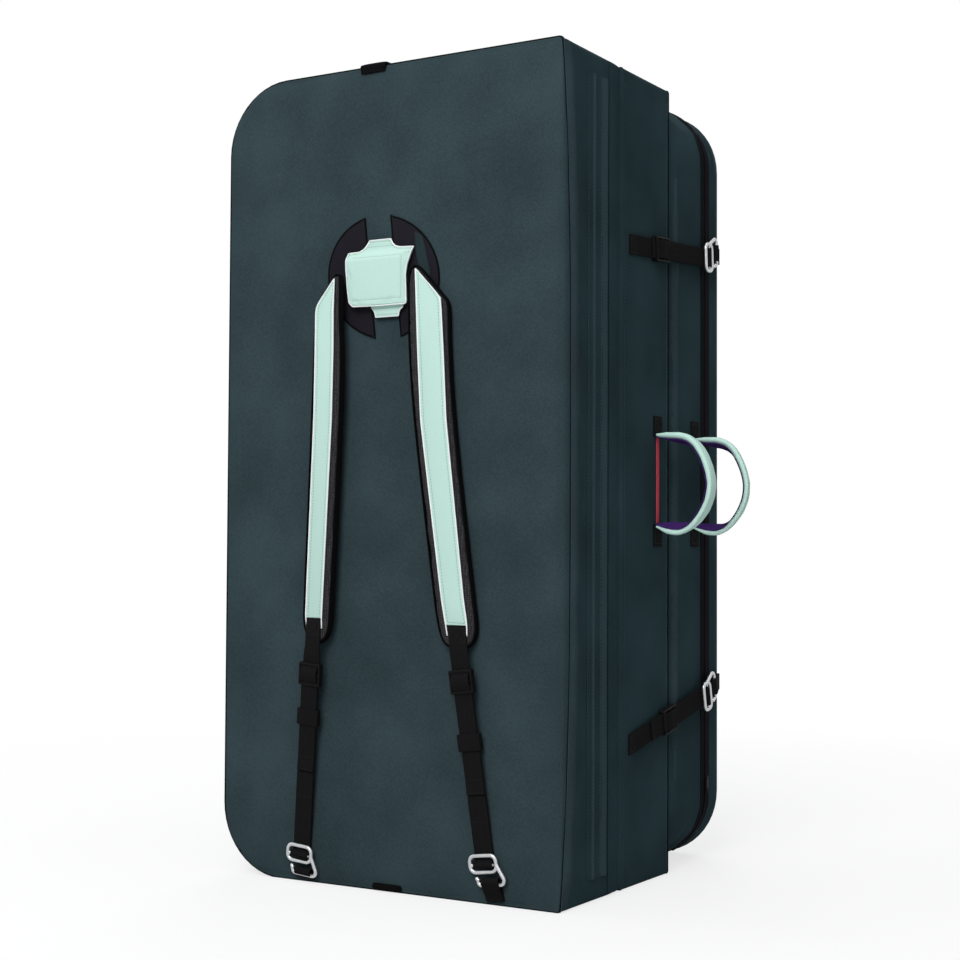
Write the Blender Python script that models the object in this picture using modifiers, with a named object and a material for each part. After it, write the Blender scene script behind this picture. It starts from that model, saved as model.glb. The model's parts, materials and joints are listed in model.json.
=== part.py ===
"""A three-panel bouldering crash pad, folded like a Z and standing on its short end.

Metres, +Z up. The carry face looks towards -Y, the first fold is at +X and the second at -X. The origin is in
the middle of the centre panel's base.
"""

import math

import bmesh
import bpy
from mathutils import Matrix, Vector

# Driving sizes of the pad
PAD_HEIGHT = 1.000
PAD_WIDTH = 0.485
REAR_RISE = 0.008
OUTER_THICKNESS = 0.151
CENTRE_THICKNESS = 0.137
PANEL_GAP = 0.0015
FREE_CORNER_RADIUS = 0.088
SEWN_CORNER_RADIUS = 0.004
CROWN = 0.003
CROWN_REACH = 0.150
FOLD_REACH = 0.008

# Clearance between touching pieces, and the overrun of every cutter
GAP = 0.0003
OVERRUN = 0.004

# How far each edge is drawn in: (along the thickness, towards the middle)
CRISP_EDGE = (0.0035, 0.0020)
FOLD_EDGE = (0.034, 0.0045)
CENTRE_EDGE = (0.005, 0.003)

# Covers and foam
COVER_WALL = 0.0025
FOAM_FIT = 0.0006
LANDING_FOAM = 0.030

# Zips
ZIP_TAPE_WIDTH = 0.026
ZIP_TAPE_THICKNESS = 0.0010
ZIP_CHAIN_WIDTH = 0.006
ZIP_CHAIN_THICKNESS = 0.0015
ZIP_SEAT = 0.0002
ZIP_SLOT_WIDTH = 0.008
REAR_ZIP_FROM_BACK = 0.0433
CARRY_ZIP_FROM_FRONT = 0.083
ZIP_END_STEP = 5
ZIP_TOP_RUN = 0.060
CENTRE_ZIP_LENGTH = 0.380
ZIP_SLIDER_LENGTH = 0.014
ZIP_SLIDER_WIDTH = 0.010
ZIP_SLIDER_TOP = 0.0014
ZIP_PULL_LENGTH = 0.024
ZIP_PULL_WIDTH = 0.006
ZIP_PULL_THICKNESS = 0.0009
ZIP_PARKING = 0.030

# Stitched strip beside each fold, and the pleat of the fold
STRIP_FROM_FOLD = 0.0395
STRIP_WIDTH = 0.0485
STRIP_BASE = 0.0012
STRIP_RIDGE = 0.0026
STRIP_NARROW_RIDGE = 0.006
STRIP_BROAD_RIDGE = 0.018
STRIP_END_MARGIN = 0.026
GUSSET_THICKNESS = 0.0010
GUSSET_OUTER_ANGLE = math.radians(22)
GUSSET_CENTRE_ANGLE = math.radians(50)
GUSSET_END_MARGIN = 0.008

# Webbing and hardware that every strap shares
WEBBING_THICKNESS = 0.0016
HOOK_WIRE_RADIUS = 0.0030
HOOK_RING_WIDTH = 0.041
HOOK_RING_HEIGHT = 0.025
HOOK_RING_CORNER = 0.007
HOOK_RING_RISE = 0.0015
HOOK_BAR_RADIUS = 0.0016
HOOK_LENGTH = 0.0365
HOOK_LEG_REACH = 0.0075
HOOK_TIP_HEIGHT = 0.0065
HOOK_TIP_INSET = 0.007
HOOK_LIFT = 0.0062
RETURN_LIFT = 0.0020
ADJUSTER_WALL = 0.0012
ADJUSTER_ROOM = 0.0005
ADJUSTER_SIDE_ROOM = 0.0010
ADJUSTER_RAIL = 0.0022
ADJUSTER_BAR = 0.0035

# Closure straps on the two fold walls
CLOSURE_WIDTH = 0.025
CLOSURE_START = 0.0485
CLOSURE_START_LIFT = 0.0022
CLOSURE_SEAM_LIFT = 0.0011
CLOSURE_LEAD = 0.030
CLOSURE_HOOK_REACH = 0.2155
CLOSURE_HOOK_CLEAR = 0.0058
CARRY_HOOK_SHORTER = 0.030
UPPER_CLOSURE_HEIGHT = 0.7845
UPPER_CLOSURE_TILT = math.radians(3.5)
LOWER_CLOSURE_HEIGHT = 0.173
LOWER_CLOSURE_TILT = math.radians(12.2)
CLOSURE_RETURN_START = 0.056
SLIDER_LENGTH = 0.036
UPPER_SLIDER_AT = 0.082
LOWER_SLIDER_AT = 0.1065
CLOSURE_LOOP_WIDTH = 0.021
LOOP_WRAP = math.radians(30)
LOOP_LAP = 0.016
LOOP_LAP_RISE = 0.0005

# Carry harness
PATCH_HALF_WIDTH = 0.0815
PATCH_HALF_HEIGHT = 0.0762
PATCH_HALF_BAND = 0.018
PATCH_THICKNESS = 0.0014
PATCH_LEAN = 0.11
HARNESS_X = -0.0014
HARNESS_HEIGHT = 0.739
YOKE_OUTLINE = (
    (0.0405, -0.0290),
    (0.0405, -0.0100),
    (0.0412, 0.0050),
    (0.0450, 0.0160),
    (0.0515, 0.0300),
    (0.0515, 0.0335),
    (-0.0485, 0.0325),
    (-0.0505, 0.0300),
    (-0.0500, 0.0150),
    (-0.0480, -0.0060),
    (-0.0455, -0.0270),
    (-0.0430, -0.0340),
    (-0.0390, -0.0365),
    (0.0350, -0.0365),
    (0.0390, -0.0345),
)
YOKE_TOP_TAB = (
    (-0.0340, 0.0280),
    (0.0360, 0.0280),
    (0.0330, 0.0325),
    (0.0245, 0.0355),
    (0.0190, 0.0415),
    (0.0180, 0.0445),
    (-0.0170, 0.0445),
    (-0.0180, 0.0400),
    (-0.0220, 0.0355),
    (-0.0310, 0.0320),
)
YOKE_BOTTOM_TAB = (
    (-0.0190, -0.0320),
    (0.0365, -0.0320),
    (0.0325, -0.0405),
    (0.0300, -0.0450),
    (0.0295, -0.0495),
    (-0.0062, -0.0495),
    (-0.0075, -0.0450),
    (-0.0130, -0.0395),
)
YOKE_TAB_THICKNESS = 0.0020
YOKE_THICKNESS = 0.012
YOKE_ROUNDING = 0.0035
STRAP_TOP = 0.750
STRAP_PAD_THICKNESS = 0.011
STRAP_PAD_ROUNDING = 0.0030
STRAP_PAD_LIFT = 0.0005
FACING_THICKNESS = 0.0016
SEAM_GAP = 0.0009
SHOULDER_WEBBING_WIDTH = 0.0245
SHOULDER_UNTWIST = 0.014
LOCK_LENGTH = 0.028
LOCK_AT = 0.0355
KEEPER_LENGTH = 0.020
KEEPER_SIDE_ROOM = 0.0040
SHOULDER_RETURN = 0.045
SHOULDER_HOOK_CLEAR = 0.0005
SHOULDER_LOOP_WIDTH = 0.023
SHOULDER_LOOP_FOOT = 0.0050
SHOULDER_LOOP_START = math.radians(20)
SHOULDER_LOOP_END = math.radians(225)

# For each shoulder strap: its outlines on the carry face as (x, z), how far it is rolled about its length and
# about which x, where its webbing starts and leaves the pad, where its hook's bar lies, and how far down the
# webbing the keeper sits and the tail ends
SHOULDERS = {
    "left": {
        "pad": (
            (-0.0540, 0.7450), (-0.0600, 0.7500), (-0.0690, 0.7480), (-0.0940, 0.7120), (-0.0978, 0.6950),
            (-0.0980, 0.6500), (-0.0995, 0.5660), (-0.1095, 0.3350), (-0.1090, 0.3150), (-0.1010, 0.2990),
            (-0.0900, 0.2925), (-0.0780, 0.2955), (-0.0685, 0.3060), (-0.0650, 0.3270), (-0.0510, 0.5660),
            (-0.0495, 0.6500), (-0.0530, 0.6920),
        ),
        "facing": (
            (-0.0575, 0.7380), (-0.0865, 0.7080), (-0.0885, 0.7000), (-0.0887, 0.6520), (-0.0901, 0.5660),
            (-0.1015, 0.3250), (-0.0745, 0.3250), (-0.0605, 0.5660), (-0.0587, 0.6510), (-0.0590, 0.7000),
        ),
        "roll": math.radians(9),
        "pivot": -0.1115,
        "sewn": (-0.0882, 0.3250),
        "start": (-0.0905, 0.2925),
        "hook": (-0.1148, 0.0345),
        "keeper": 0.0885,
        "tail": 0.1555,
    },
    "right": {
        "pad": (
            (0.0430, 0.7400), (0.0490, 0.7485), (0.0560, 0.7500), (0.0920, 0.7010), (0.0970, 0.6900),
            (0.0985, 0.6750), (0.1000, 0.6450), (0.1060, 0.5620), (0.1345, 0.3500), (0.1388, 0.3220),
            (0.1375, 0.3070), (0.1300, 0.2965), (0.1180, 0.2925), (0.1030, 0.2945), (0.0930, 0.3020),
            (0.0868, 0.3210), (0.0815, 0.3500), (0.0510, 0.5620), (0.0438, 0.6450), (0.0422, 0.7070),
        ),
        "facing": (
            (0.0550, 0.7430), (0.0905, 0.7060), (0.0945, 0.6450), (0.0990, 0.5620), (0.1244, 0.3510),
            (0.1295, 0.3215), (0.1005, 0.3215), (0.0947, 0.3500), (0.0640, 0.5620), (0.0592, 0.6450),
        ),
        "roll": 0,
        "pivot": 0.0480,
        "sewn": (0.1150, 0.3215),
        "start": (0.1178, 0.2925),
        "hook": (0.1484, 0.0470),
        "keeper": 0.1060,
        "tail": 0.1670,
    },
}

# Handles
HANDLE_HEIGHT = 0.4960
HANDLE_WIDTH = 0.027
HANDLE_THICKNESS = 0.0050
HANDLE_ROUNDING = 0.0018
CENTRE_HANDLE_TURN = math.radians(8)
REAR_HANDLE_TURN = math.radians(20)
HANDLE_PROFILE = (
    (0.0000, 0.0610),
    (0.0150, 0.0625),
    (0.0310, 0.0600),
    (0.0430, 0.0545),
    (0.0530, 0.0450),
    (0.0620, 0.0310),
    (0.0700, 0.0140),
    (0.0740, -0.0030),
    (0.0718, -0.0210),
    (0.0645, -0.0380),
    (0.0550, -0.0500),
    (0.0440, -0.0585),
    (0.0300, -0.0635),
    (0.0150, -0.0625),
    (0.0000, -0.0580),
)
LINING_WIDTH = 0.022
LINING_THICKNESS = 0.0012
HANDLE_BASE_LENGTH = 0.164
HANDLE_BASE_WIDTH = 0.024
CENTRE_HANDLE_Y = 0.032
REAR_HANDLE_Y = 0.1445

# Folded webbing tabs at the top and bottom edges of the carry face
TOP_TAB_X = -0.019
TOP_TAB_WIDTH = 0.039
BOTTOM_TAB_X = 0.0095
BOTTOM_TAB_WIDTH = 0.042
TAB_THICKNESS = 0.0040
TAB_DROP = 0.005
TAB_LIFT = 0.0009
TAB_LAP = 0.030
BOTTOM_TAB_HEIGHT = 0.0095
BOTTOM_TAB_FOOT = 0.0012

# Segments of the curved forms
FREE_CORNER_STEPS = 7
SEWN_CORNER_STEPS = 2
EDGE_STEPS = 4
CROWN_STEPS = 4
TURN_STEPS = 6
WIRE_RESOLUTION = 2

# Derived places
HALF_WIDTH = PAD_WIDTH / 2
CENTRE_BACK = CENTRE_THICKNESS / 2
FOLD_PLANE = CENTRE_BACK + PANEL_GAP / 2
OUTER_START = CENTRE_BACK + PANEL_GAP
OUTER_END = OUTER_START + OUTER_THICKNESS
FACE_Y = -OUTER_END - CROWN
HOOK_TOP = HOOK_RING_HEIGHT / 2
HOOK_RAIL = HOOK_TOP + HOOK_RING_RISE - HOOK_WIRE_RADIUS
HOOK_LOWER_RAIL = HOOK_TOP - HOOK_RING_RISE - HOOK_WIRE_RADIUS
HOOK_FOOT = HOOK_LENGTH - HOOK_TOP - HOOK_RING_RISE - HOOK_WIRE_RADIUS
HOOK_EDGE = HOOK_RING_WIDTH / 2 - HOOK_WIRE_RADIUS
HOOK_LOOP_X = (HOOK_TIP_INSET + HOOK_LEG_REACH) / 2

COLOURS = {
    "cover_fabric": ((0.030, 0.052, 0.060), 0.85, 0.0),
    "closed_cell_foam": ((0.10, 0.10, 0.11), 0.9, 0.0),
    "open_cell_foam": ((0.62, 0.60, 0.52), 0.95, 0.0),
    "webbing": ((0.012, 0.012, 0.013), 0.8, 0.0),
    "mint_fabric": ((0.50, 0.76, 0.66), 0.8, 0.0),
    "purple_lining": ((0.06, 0.03, 0.14), 0.8, 0.0),
    "spacer_mesh": ((0.016, 0.016, 0.018), 0.9, 0.0),
    "black_plastic": ((0.012, 0.012, 0.013), 0.45, 0.0),
    "zip_chain": ((0.010, 0.009, 0.014), 0.5, 0.0),
    "aluminium": ((0.62, 0.64, 0.66), 0.35, 1.0),
}

PARTS = "crash_pad"
CUTTERS = "cutters"


class Panel:
    """One foam panel of the pad: its two planes, drawn-in edges, crowned faces and rounded free side."""

    def __init__(self, name, front, back, front_edge, back_edge, free_side, top):
        self.name = name
        self.top = top
        self.front = front
        self.back = back
        self.front_edge = front_edge
        self.back_edge = back_edge
        self.free_side = free_side
        self.front_crown = CROWN if free_side < 0 else 0
        self.back_crown = CROWN if free_side > 0 else 0


def clear_scene():
    for obj in list(bpy.data.objects):
        bpy.data.objects.remove(obj)
    for name in (PARTS, CUTTERS):
        collection = bpy.data.collections.new(name)
        bpy.context.scene.collection.children.link(collection)


def material(name):
    found = bpy.data.materials.get(name)
    if found:
        return found
    colour, roughness, metallic = COLOURS[name]
    made = bpy.data.materials.new(name)
    made.use_nodes = True
    shader = made.node_tree.nodes["Principled BSDF"]
    shader.inputs["Base Color"].default_value = (*colour, 1)
    shader.inputs["Roughness"].default_value = roughness
    shader.inputs["Metallic"].default_value = metallic
    return made


def link(obj, finish=None, parent=None):
    """Puts an object with the parts, in its material, under its parent."""
    bpy.data.collections[PARTS].objects.link(obj)
    if finish:
        obj.data.materials.clear()
        obj.data.materials.append(material(finish))
    if parent:
        obj.parent = parent
    return obj


def empty(name, location, basis=None, parent=None):
    made = bpy.data.objects.new(name, None)
    bpy.data.collections[PARTS].objects.link(made)
    made.parent = parent
    frame = Matrix.Identity(4) if basis is None else basis.to_4x4()
    frame.translation = location
    made.matrix_basis = frame
    return made


def mesh_object(name, form):
    """An unlinked object from a bmesh, with its faces turned out."""
    bmesh.ops.recalc_face_normals(form, faces=form.faces)
    mesh = bpy.data.meshes.new(name)
    form.to_mesh(mesh)
    form.free()
    return bpy.data.objects.new(name, mesh)


def box(name, low, high):
    form = bmesh.new()
    bmesh.ops.create_cube(form, size=1)
    centre = (Vector(low) + Vector(high)) / 2
    size = Vector(high) - Vector(low)
    placed = Matrix.Translation(centre) @ Matrix.Diagonal((*size, 1))
    bmesh.ops.transform(form, matrix=placed, verts=form.verts)
    return mesh_object(name, form)


def loft(name, rings):
    """A closed form through rings of equally many points."""
    form = bmesh.new()
    rows = [[form.verts.new(point) for point in ring] for ring in rings]
    for near, far in zip(rows, rows[1:]):
        for i in range(len(near)):
            form.faces.new((near[i - 1], near[i], far[i], far[i - 1]))
    form.faces.new(rows[0])
    form.faces.new(rows[-1])
    return mesh_object(name, form)


def flat_piece(name, outline, thickness, holes=()):
    """A flat outline in its own XZ plane, thick along Y to both sides of zero."""
    curve = bpy.data.curves.new(name, "CURVE")
    curve.dimensions = "2D"
    curve.fill_mode = "BOTH"
    curve.extrude = thickness / 2
    for points in (outline, *holes):
        spline = curve.splines.new("POLY")
        spline.points.add(len(points) - 1)
        for knot, (x, z) in zip(spline.points, points):
            knot.co = (x, z, 0, 1)
        spline.use_cyclic_u = True
    made = bpy.data.objects.new(name, curve)
    made.rotation_euler.x = math.radians(90)
    return baked(made)


def wire(name, points, radius, closed=False):
    """A round bar along points, with filled ends."""
    curve = bpy.data.curves.new(name, "CURVE")
    curve.dimensions = "3D"
    curve.bevel_depth = radius
    curve.bevel_resolution = WIRE_RESOLUTION
    curve.use_fill_caps = True
    spline = curve.splines.new("POLY")
    spline.points.add(len(points) - 1)
    for knot, point in zip(spline.points, points):
        knot.co = (*point, 1)
    spline.use_cyclic_u = closed
    return baked(bpy.data.objects.new(name, curve))


def baked(obj):
    """The object with its curve and modifiers turned into one plain mesh, its own transform included."""
    scene = bpy.context.scene.collection
    scene.objects.link(obj)
    graph = bpy.context.evaluated_depsgraph_get()
    mesh = bpy.data.meshes.new_from_object(obj.evaluated_get(graph))
    mesh.transform(obj.matrix_world)
    name = obj.name
    bpy.data.objects.remove(obj)
    form = bmesh.new()
    form.from_mesh(mesh)
    bpy.data.meshes.remove(mesh)
    bmesh.ops.remove_doubles(form, verts=form.verts, dist=GAP / 10)
    return mesh_object(name, form)


def cut(obj, cutter, operation="DIFFERENCE"):
    """A Boolean of the object with another, which goes to the cutters."""
    bpy.data.collections[CUTTERS].objects.link(cutter)
    cutter.hide_render = True
    cutter.display_type = "WIRE"
    step = obj.modifiers.new(cutter.name, "BOOLEAN")
    step.operation = operation
    step.solver = "EXACT"
    step.object = cutter
    return obj


def joined(name, *pieces):
    """Overlapping pieces made one mesh."""
    whole, *others = pieces
    for piece in others:
        cut(whole, piece, "UNION")
    whole = baked(whole)
    whole.name = name
    return whole


def ribbon(name, path, side, width, thickness):
    """A band along a path, its width along the side vector, or along one such vector for each point."""
    sides = side if isinstance(side, list) else [side] * len(path)
    form = bmesh.new()
    rows = []
    for point, across in zip(path, sides):
        half = Vector(across) * (width / 2)
        rows.append((form.verts.new(Vector(point) - half), form.verts.new(Vector(point) + half)))
    for near, far in zip(rows, rows[1:]):
        form.faces.new((near[0], near[1], far[1], far[0]))
    strip = mesh_object(name, form)
    solid = strip.modifiers.new("thickness", "SOLIDIFY")
    solid.thickness = thickness
    solid.offset = 0
    solid.use_even_offset = True
    return baked(strip)


def rounded(obj, width, segments=2):
    bevel = obj.modifiers.new("rounding", "BEVEL")
    bevel.width = width
    bevel.segments = segments
    bevel.limit_method = "ANGLE"
    bevel.angle_limit = math.radians(50)
    return obj


def smooth(obj):
    obj.data.shade_smooth()
    obj.data.set_sharp_from_angle(angle=math.radians(35))
    return obj


def arc(centre, radius, start, end, steps):
    """Points on a circle in a plane, from one angle to another."""
    turns = [start + (end - start) * i / steps for i in range(steps + 1)]
    return [(centre[0] + radius * math.cos(a), centre[1] + radius * math.sin(a)) for a in turns]


# Panels


def outline(panel, inset):
    """The panel's front view at a distance inside its walls, as (x, z)."""
    points = []
    for quarter, (side, level) in enumerate(((1, 1), (-1, 1), (-1, -1), (1, -1))):
        free = side == panel.free_side
        radius = (FREE_CORNER_RADIUS if free else SEWN_CORNER_RADIUS) * (1 - inset / HALF_WIDTH)
        reach = HALF_WIDTH - inset - radius
        rise = panel.top / 2 - inset - radius
        centre = (side * reach, panel.top / 2 + level * rise)
        start = quarter * math.pi / 2
        steps = FREE_CORNER_STEPS if free else SEWN_CORNER_STEPS
        points += arc(centre, radius, start, start + math.pi / 2, steps)
    return points


def wall_inset(panel, y):
    """How far the panel's wall is drawn in at a depth."""
    for plane, (depth, draw) in ((panel.front, panel.front_edge), (panel.back, panel.back_edge)):
        share = 1 - abs(y - plane) / depth
        if share > 0:
            return draw * (1 - math.sqrt(1 - share**2))
    return 0


def edge_depths(panel):
    """The depths at which the drawn-in edges bend, from front to back."""
    bends = [1 - math.cos(math.pi / 2 * i / EDGE_STEPS) for i in range(EDGE_STEPS + 1)]
    front = [panel.front + panel.front_edge[0] * bend for bend in bends]
    back = [panel.back - panel.back_edge[0] * bend for bend in reversed(bends)]
    return front + back


def crown_rings(panel, y, first_inset, crown):
    """Rings that swell a face from its edge to its middle, edge first."""
    rings = []
    for i in range(1, CROWN_STEPS + 1):
        share = i / CROWN_STEPS
        inset = first_inset + CROWN_REACH * share
        swell = crown * (1 - (1 - share) ** 2)
        rings.append([Vector((x, y + swell, z)) for x, z in outline(panel, inset)])
    return rings


def cushion(name, panel, offset, start, end, crowned=(True, True)):
    """A closed form that follows the panel's walls at an offset, between two depths."""
    depths = [y for y in edge_depths(panel) if start + GAP < y < end - GAP]
    rings = []
    for y in (start, *depths, end):
        inset = wall_inset(panel, y) + offset
        rings.append([Vector((x, y, z)) for x, z in outline(panel, inset)])
    if crowned[0] and panel.front_crown:
        swollen = crown_rings(panel, start, wall_inset(panel, start) + offset, -panel.front_crown)
        rings = swollen[::-1] + rings
    if crowned[1] and panel.back_crown:
        rings += crown_rings(panel, end, wall_inset(panel, end) + offset, panel.back_crown)
    return loft(name, rings)


def cover(panel, slot):
    """The fabric shell, open at its zip."""
    shell = cushion(f"{panel.name}_cover", panel, 0, panel.front, panel.back)
    room = cushion(f"{panel.name}_room", panel, COVER_WALL, panel.front + COVER_WALL, panel.back - COVER_WALL)
    cut(shell, room)
    cut(shell, slot)
    return link(shell, "cover_fabric")


def foams(panel):
    """The closed-cell sheet under the landing side, and the open-cell core behind it."""
    front = panel.front + COVER_WALL + FOAM_FIT
    back = panel.back - COVER_WALL - FOAM_FIT
    offset = COVER_WALL + FOAM_FIT
    lands_at_back = panel.free_side != 0
    split = back - LANDING_FOAM if lands_at_back else front + LANDING_FOAM
    near = cushion(f"{panel.name}_near", panel, offset, front, split - FOAM_FIT / 2, (True, False))
    far = cushion(f"{panel.name}_far", panel, offset, split + FOAM_FIT / 2, back, (False, True))
    landing, core = (far, near) if lands_at_back else (near, far)
    landing.name = f"{panel.name}_landing_foam"
    core.name = f"{panel.name}_core_foam"
    link(landing, "closed_cell_foam")
    link(core, "open_cell_foam")


def make_panels():
    rear_top = PAD_HEIGHT + REAR_RISE
    carry = Panel("carry", -OUTER_END, -OUTER_START, CRISP_EDGE, FOLD_EDGE, -1, PAD_HEIGHT)
    centre = Panel("centre", -CENTRE_BACK, CENTRE_BACK, CENTRE_EDGE, CENTRE_EDGE, 0, PAD_HEIGHT)
    rear = Panel("rear", OUTER_START, OUTER_END, FOLD_EDGE, CRISP_EDGE, 1, rear_top)
    half_slot = ZIP_SLOT_WIDTH / 2
    for panel, zip_y in ((carry, carry_zip_y()), (rear, rear_zip_y())):
        side = panel.free_side
        inner, outer = sorted((side * (HALF_WIDTH - COVER_WALL - OVERRUN), side * (HALF_WIDTH + OVERRUN)))
        foot = FREE_CORNER_RADIUS
        low = (inner, zip_y - half_slot, foot)
        high = (outer, zip_y + half_slot, PAD_HEIGHT - foot)
        cover(panel, box(f"{panel.name}_slot", low, high))
        foams(panel)
    half_length = CENTRE_ZIP_LENGTH / 2 - ZIP_SLOT_WIDTH
    low = (-half_length, -half_slot, PAD_HEIGHT - COVER_WALL - OVERRUN)
    high = (half_length, half_slot, PAD_HEIGHT + OVERRUN)
    cover(centre, box("centre_slot", low, high))
    foams(centre)


# Zips


def rear_zip_y():
    return OUTER_END - REAR_ZIP_FROM_BACK


def carry_zip_y():
    return -OUTER_END + CARRY_ZIP_FROM_FRONT


def zip_band(name, path, side, out):
    """Tape with its raised tooth chain along a path of points that lie on the wall."""
    tape_lift = GAP + ZIP_TAPE_THICKNESS / 2
    chain_lift = GAP + ZIP_TAPE_THICKNESS + ZIP_CHAIN_THICKNESS / 2 - ZIP_SEAT
    tape_path = [Vector(p) + Vector(n) * tape_lift for p, n in zip(path, out)]
    chain_path = [Vector(p) + Vector(n) * chain_lift for p, n in zip(path, out)]
    tape = ribbon(f"{name}_tape", tape_path, side, ZIP_TAPE_WIDTH, ZIP_TAPE_THICKNESS)
    chain = ribbon(f"{name}_chain", chain_path, side, ZIP_CHAIN_WIDTH, ZIP_CHAIN_THICKNESS)
    return link(joined(name, tape, chain), "zip_chain")


def corner_zip(name, y, side, top):
    """The zip of an outer panel: up its free wall and round both free corners."""
    radius = FREE_CORNER_RADIUS
    quarter = [math.pi / 2 * i / FREE_CORNER_STEPS for i in range(FREE_CORNER_STEPS + 1)]
    low = [-angle for angle in reversed(quarter[: ZIP_END_STEP + 1])]
    high = quarter
    path, out = [], []
    for angles, centre_z in ((low, radius), (high, top - radius)):
        for angle in angles:
            normal = Vector((side * math.cos(angle), 0, math.sin(angle)))
            path.append(Vector((side * (HALF_WIDTH - radius), y, centre_z)) + normal * radius)
            out.append(normal)
    path.append(path[-1] - Vector((side * ZIP_TOP_RUN, 0, 0)))
    out.append(out[-1])
    zip_band(name, path, (0, 1, 0), out)


def zip_slider(name, location, basis):
    """A slider over the chain with its pull laid flat; along its own Z, outwards along its own X."""
    holder = empty(f"{name}_frame", location, basis)
    chain_top = GAP + ZIP_TAPE_THICKNESS + ZIP_CHAIN_THICKNESS - ZIP_SEAT
    foot = 2 * GAP + ZIP_TAPE_THICKNESS
    top = chain_top + GAP + ZIP_SLIDER_TOP
    half_length = ZIP_SLIDER_LENGTH / 2
    half_width = ZIP_SLIDER_WIDTH / 2
    body = box(f"{name}_body", (foot, -half_width, -half_length), (top, half_width, half_length))
    half_channel = ZIP_CHAIN_WIDTH / 2 + GAP
    channel = box(
        f"{name}_channel",
        (foot - OVERRUN, -half_channel, -half_length - OVERRUN),
        (chain_top + GAP, half_channel, half_length + OVERRUN),
    )
    cut(body, channel)
    pull_low = (top - ZIP_SEAT, -ZIP_PULL_WIDTH / 2, -half_length - ZIP_PULL_LENGTH)
    pull_high = (top + ZIP_PULL_THICKNESS, ZIP_PULL_WIDTH / 2, 0)
    slider = joined(name, body, box(f"{name}_pull", pull_low, pull_high))
    return link(slider, "black_plastic", holder)


def make_zips():
    half = HALF_WIDTH
    park = FREE_CORNER_RADIUS + ZIP_PARKING
    turned = Matrix.Rotation(math.pi, 3, "Z")
    corner_zip("rear_zip", rear_zip_y(), 1, PAD_HEIGHT + REAR_RISE)
    corner_zip("carry_zip", carry_zip_y(), -1, PAD_HEIGHT)
    zip_slider("rear_zip_slider", (half, rear_zip_y(), park), Matrix.Identity(3))
    zip_slider("carry_zip_slider", (-half, carry_zip_y(), park), turned)
    half_length = CENTRE_ZIP_LENGTH / 2
    path = [(-half_length, 0, PAD_HEIGHT), (half_length, 0, PAD_HEIGHT)]
    zip_band("centre_zip", path, (0, 1, 0), [(0, 0, 1), (0, 0, 1)])
    lying = Matrix.Rotation(-math.pi / 2, 3, "Y")
    zip_slider("centre_zip_slider", (half_length - ZIP_PARKING - ZIP_PULL_LENGTH, 0, PAD_HEIGHT), lying)


# Folds


def edge_path(plane, turn, edge, first, last, lift):
    """Points (y, out of the wall) a little off a drawn-in edge, between two angles of its curve."""
    depth, draw = edge
    path = []
    for i in range(EDGE_STEPS + 1):
        angle = first + (last - first) * i / EDGE_STEPS
        normal = Vector((-turn * math.cos(angle) / depth, math.sin(angle) / draw)).normalized() * lift
        y = plane + turn * depth * (1 - math.cos(angle))
        path.append((y + normal.x, normal.y - draw * (1 - math.sin(angle))))
    return path


def fold_gusset(name, side):
    """The pleat that is tucked in between an outer panel and the centre panel, all the way up the fold."""
    flat = math.pi / 2
    lift = GAP + GUSSET_THICKNESS / 2
    outer = edge_path(-OUTER_START, -1, FOLD_EDGE, flat, GUSSET_OUTER_ANGLE, lift)
    centre = edge_path(-CENTRE_BACK, 1, CENTRE_EDGE, GUSSET_CENTRE_ANGLE, flat, lift)
    points = [(side * (HALF_WIDTH + out), side * y, PAD_HEIGHT / 2) for y, out in outer + centre]
    band = ribbon(name, points, (0, 0, 1), PAD_HEIGHT - 2 * GUSSET_END_MARGIN, GUSSET_THICKNESS)
    link(band, "cover_fabric")


def fold_strip(name, side):
    """The stitched double strip on the outer panel's wall beside its fold: two ridges and a valley."""
    low = GAP
    base = GAP + STRIP_BASE
    top = GAP + STRIP_RIDGE
    width = STRIP_WIDTH
    narrow = width - STRIP_NARROW_RIDGE
    broad = STRIP_BROAD_RIDGE
    slope = STRIP_RIDGE - STRIP_BASE
    profile = [
        (0, low),
        (0, base),
        (slope, top),
        (broad - slope, top),
        (broad, base),
        (narrow, base),
        (narrow + slope, top),
        (width - slope, top),
        (width, base),
        (width, low),
    ]
    start = -side * (FOLD_PLANE + STRIP_FROM_FOLD)
    foot = STRIP_END_MARGIN
    rings = [
        [Vector((side * (HALF_WIDTH + out), start - side * along, z)) for along, out in profile]
        for z in (foot, PAD_HEIGHT - foot)
    ]
    link(loft(name, rings), "cover_fabric")


# Strap hardware, in a strap's own frame: +X across it, -Y outwards, -Z along it to its hook


def hairpin(reach, return_end):
    """The webbing's middle line as (along, out): to the hook's bar, round it, and back behind the rail."""
    turn = HOOK_BAR_RADIUS + GAP + WEBBING_THICKNESS / 2
    rail = reach - HOOK_RAIL
    bend = arc((reach, HOOK_LIFT), turn, -math.pi / 2, math.pi / 2, TURN_STEPS)
    return [
        (rail + HOOK_WIRE_RADIUS, 0),
        (reach - turn, HOOK_LIFT / 3),
        *bend,
        (reach - turn * 0.92, HOOK_LIFT + turn * 0.63),
        (reach - turn * 1.5, HOOK_LIFT - turn / 2),
        (rail + HOOK_WIRE_RADIUS, RETURN_LIFT + WEBBING_THICKNESS / 4),
        (rail, RETURN_LIFT),
        (return_end, RETURN_LIFT),
    ]


def strap_webbing(name, lead, reach, return_end, width):
    """A strap's webbing, from its lead, given as points and their sides, to the hook and back."""
    path = [((0, -out, -along), (1, 0, 0)) for along, out in hairpin(reach, return_end)]
    points, sides = zip(*lead, *path)
    return ribbon(name, points, list(sides), width, WEBBING_THICKNESS)


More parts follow.
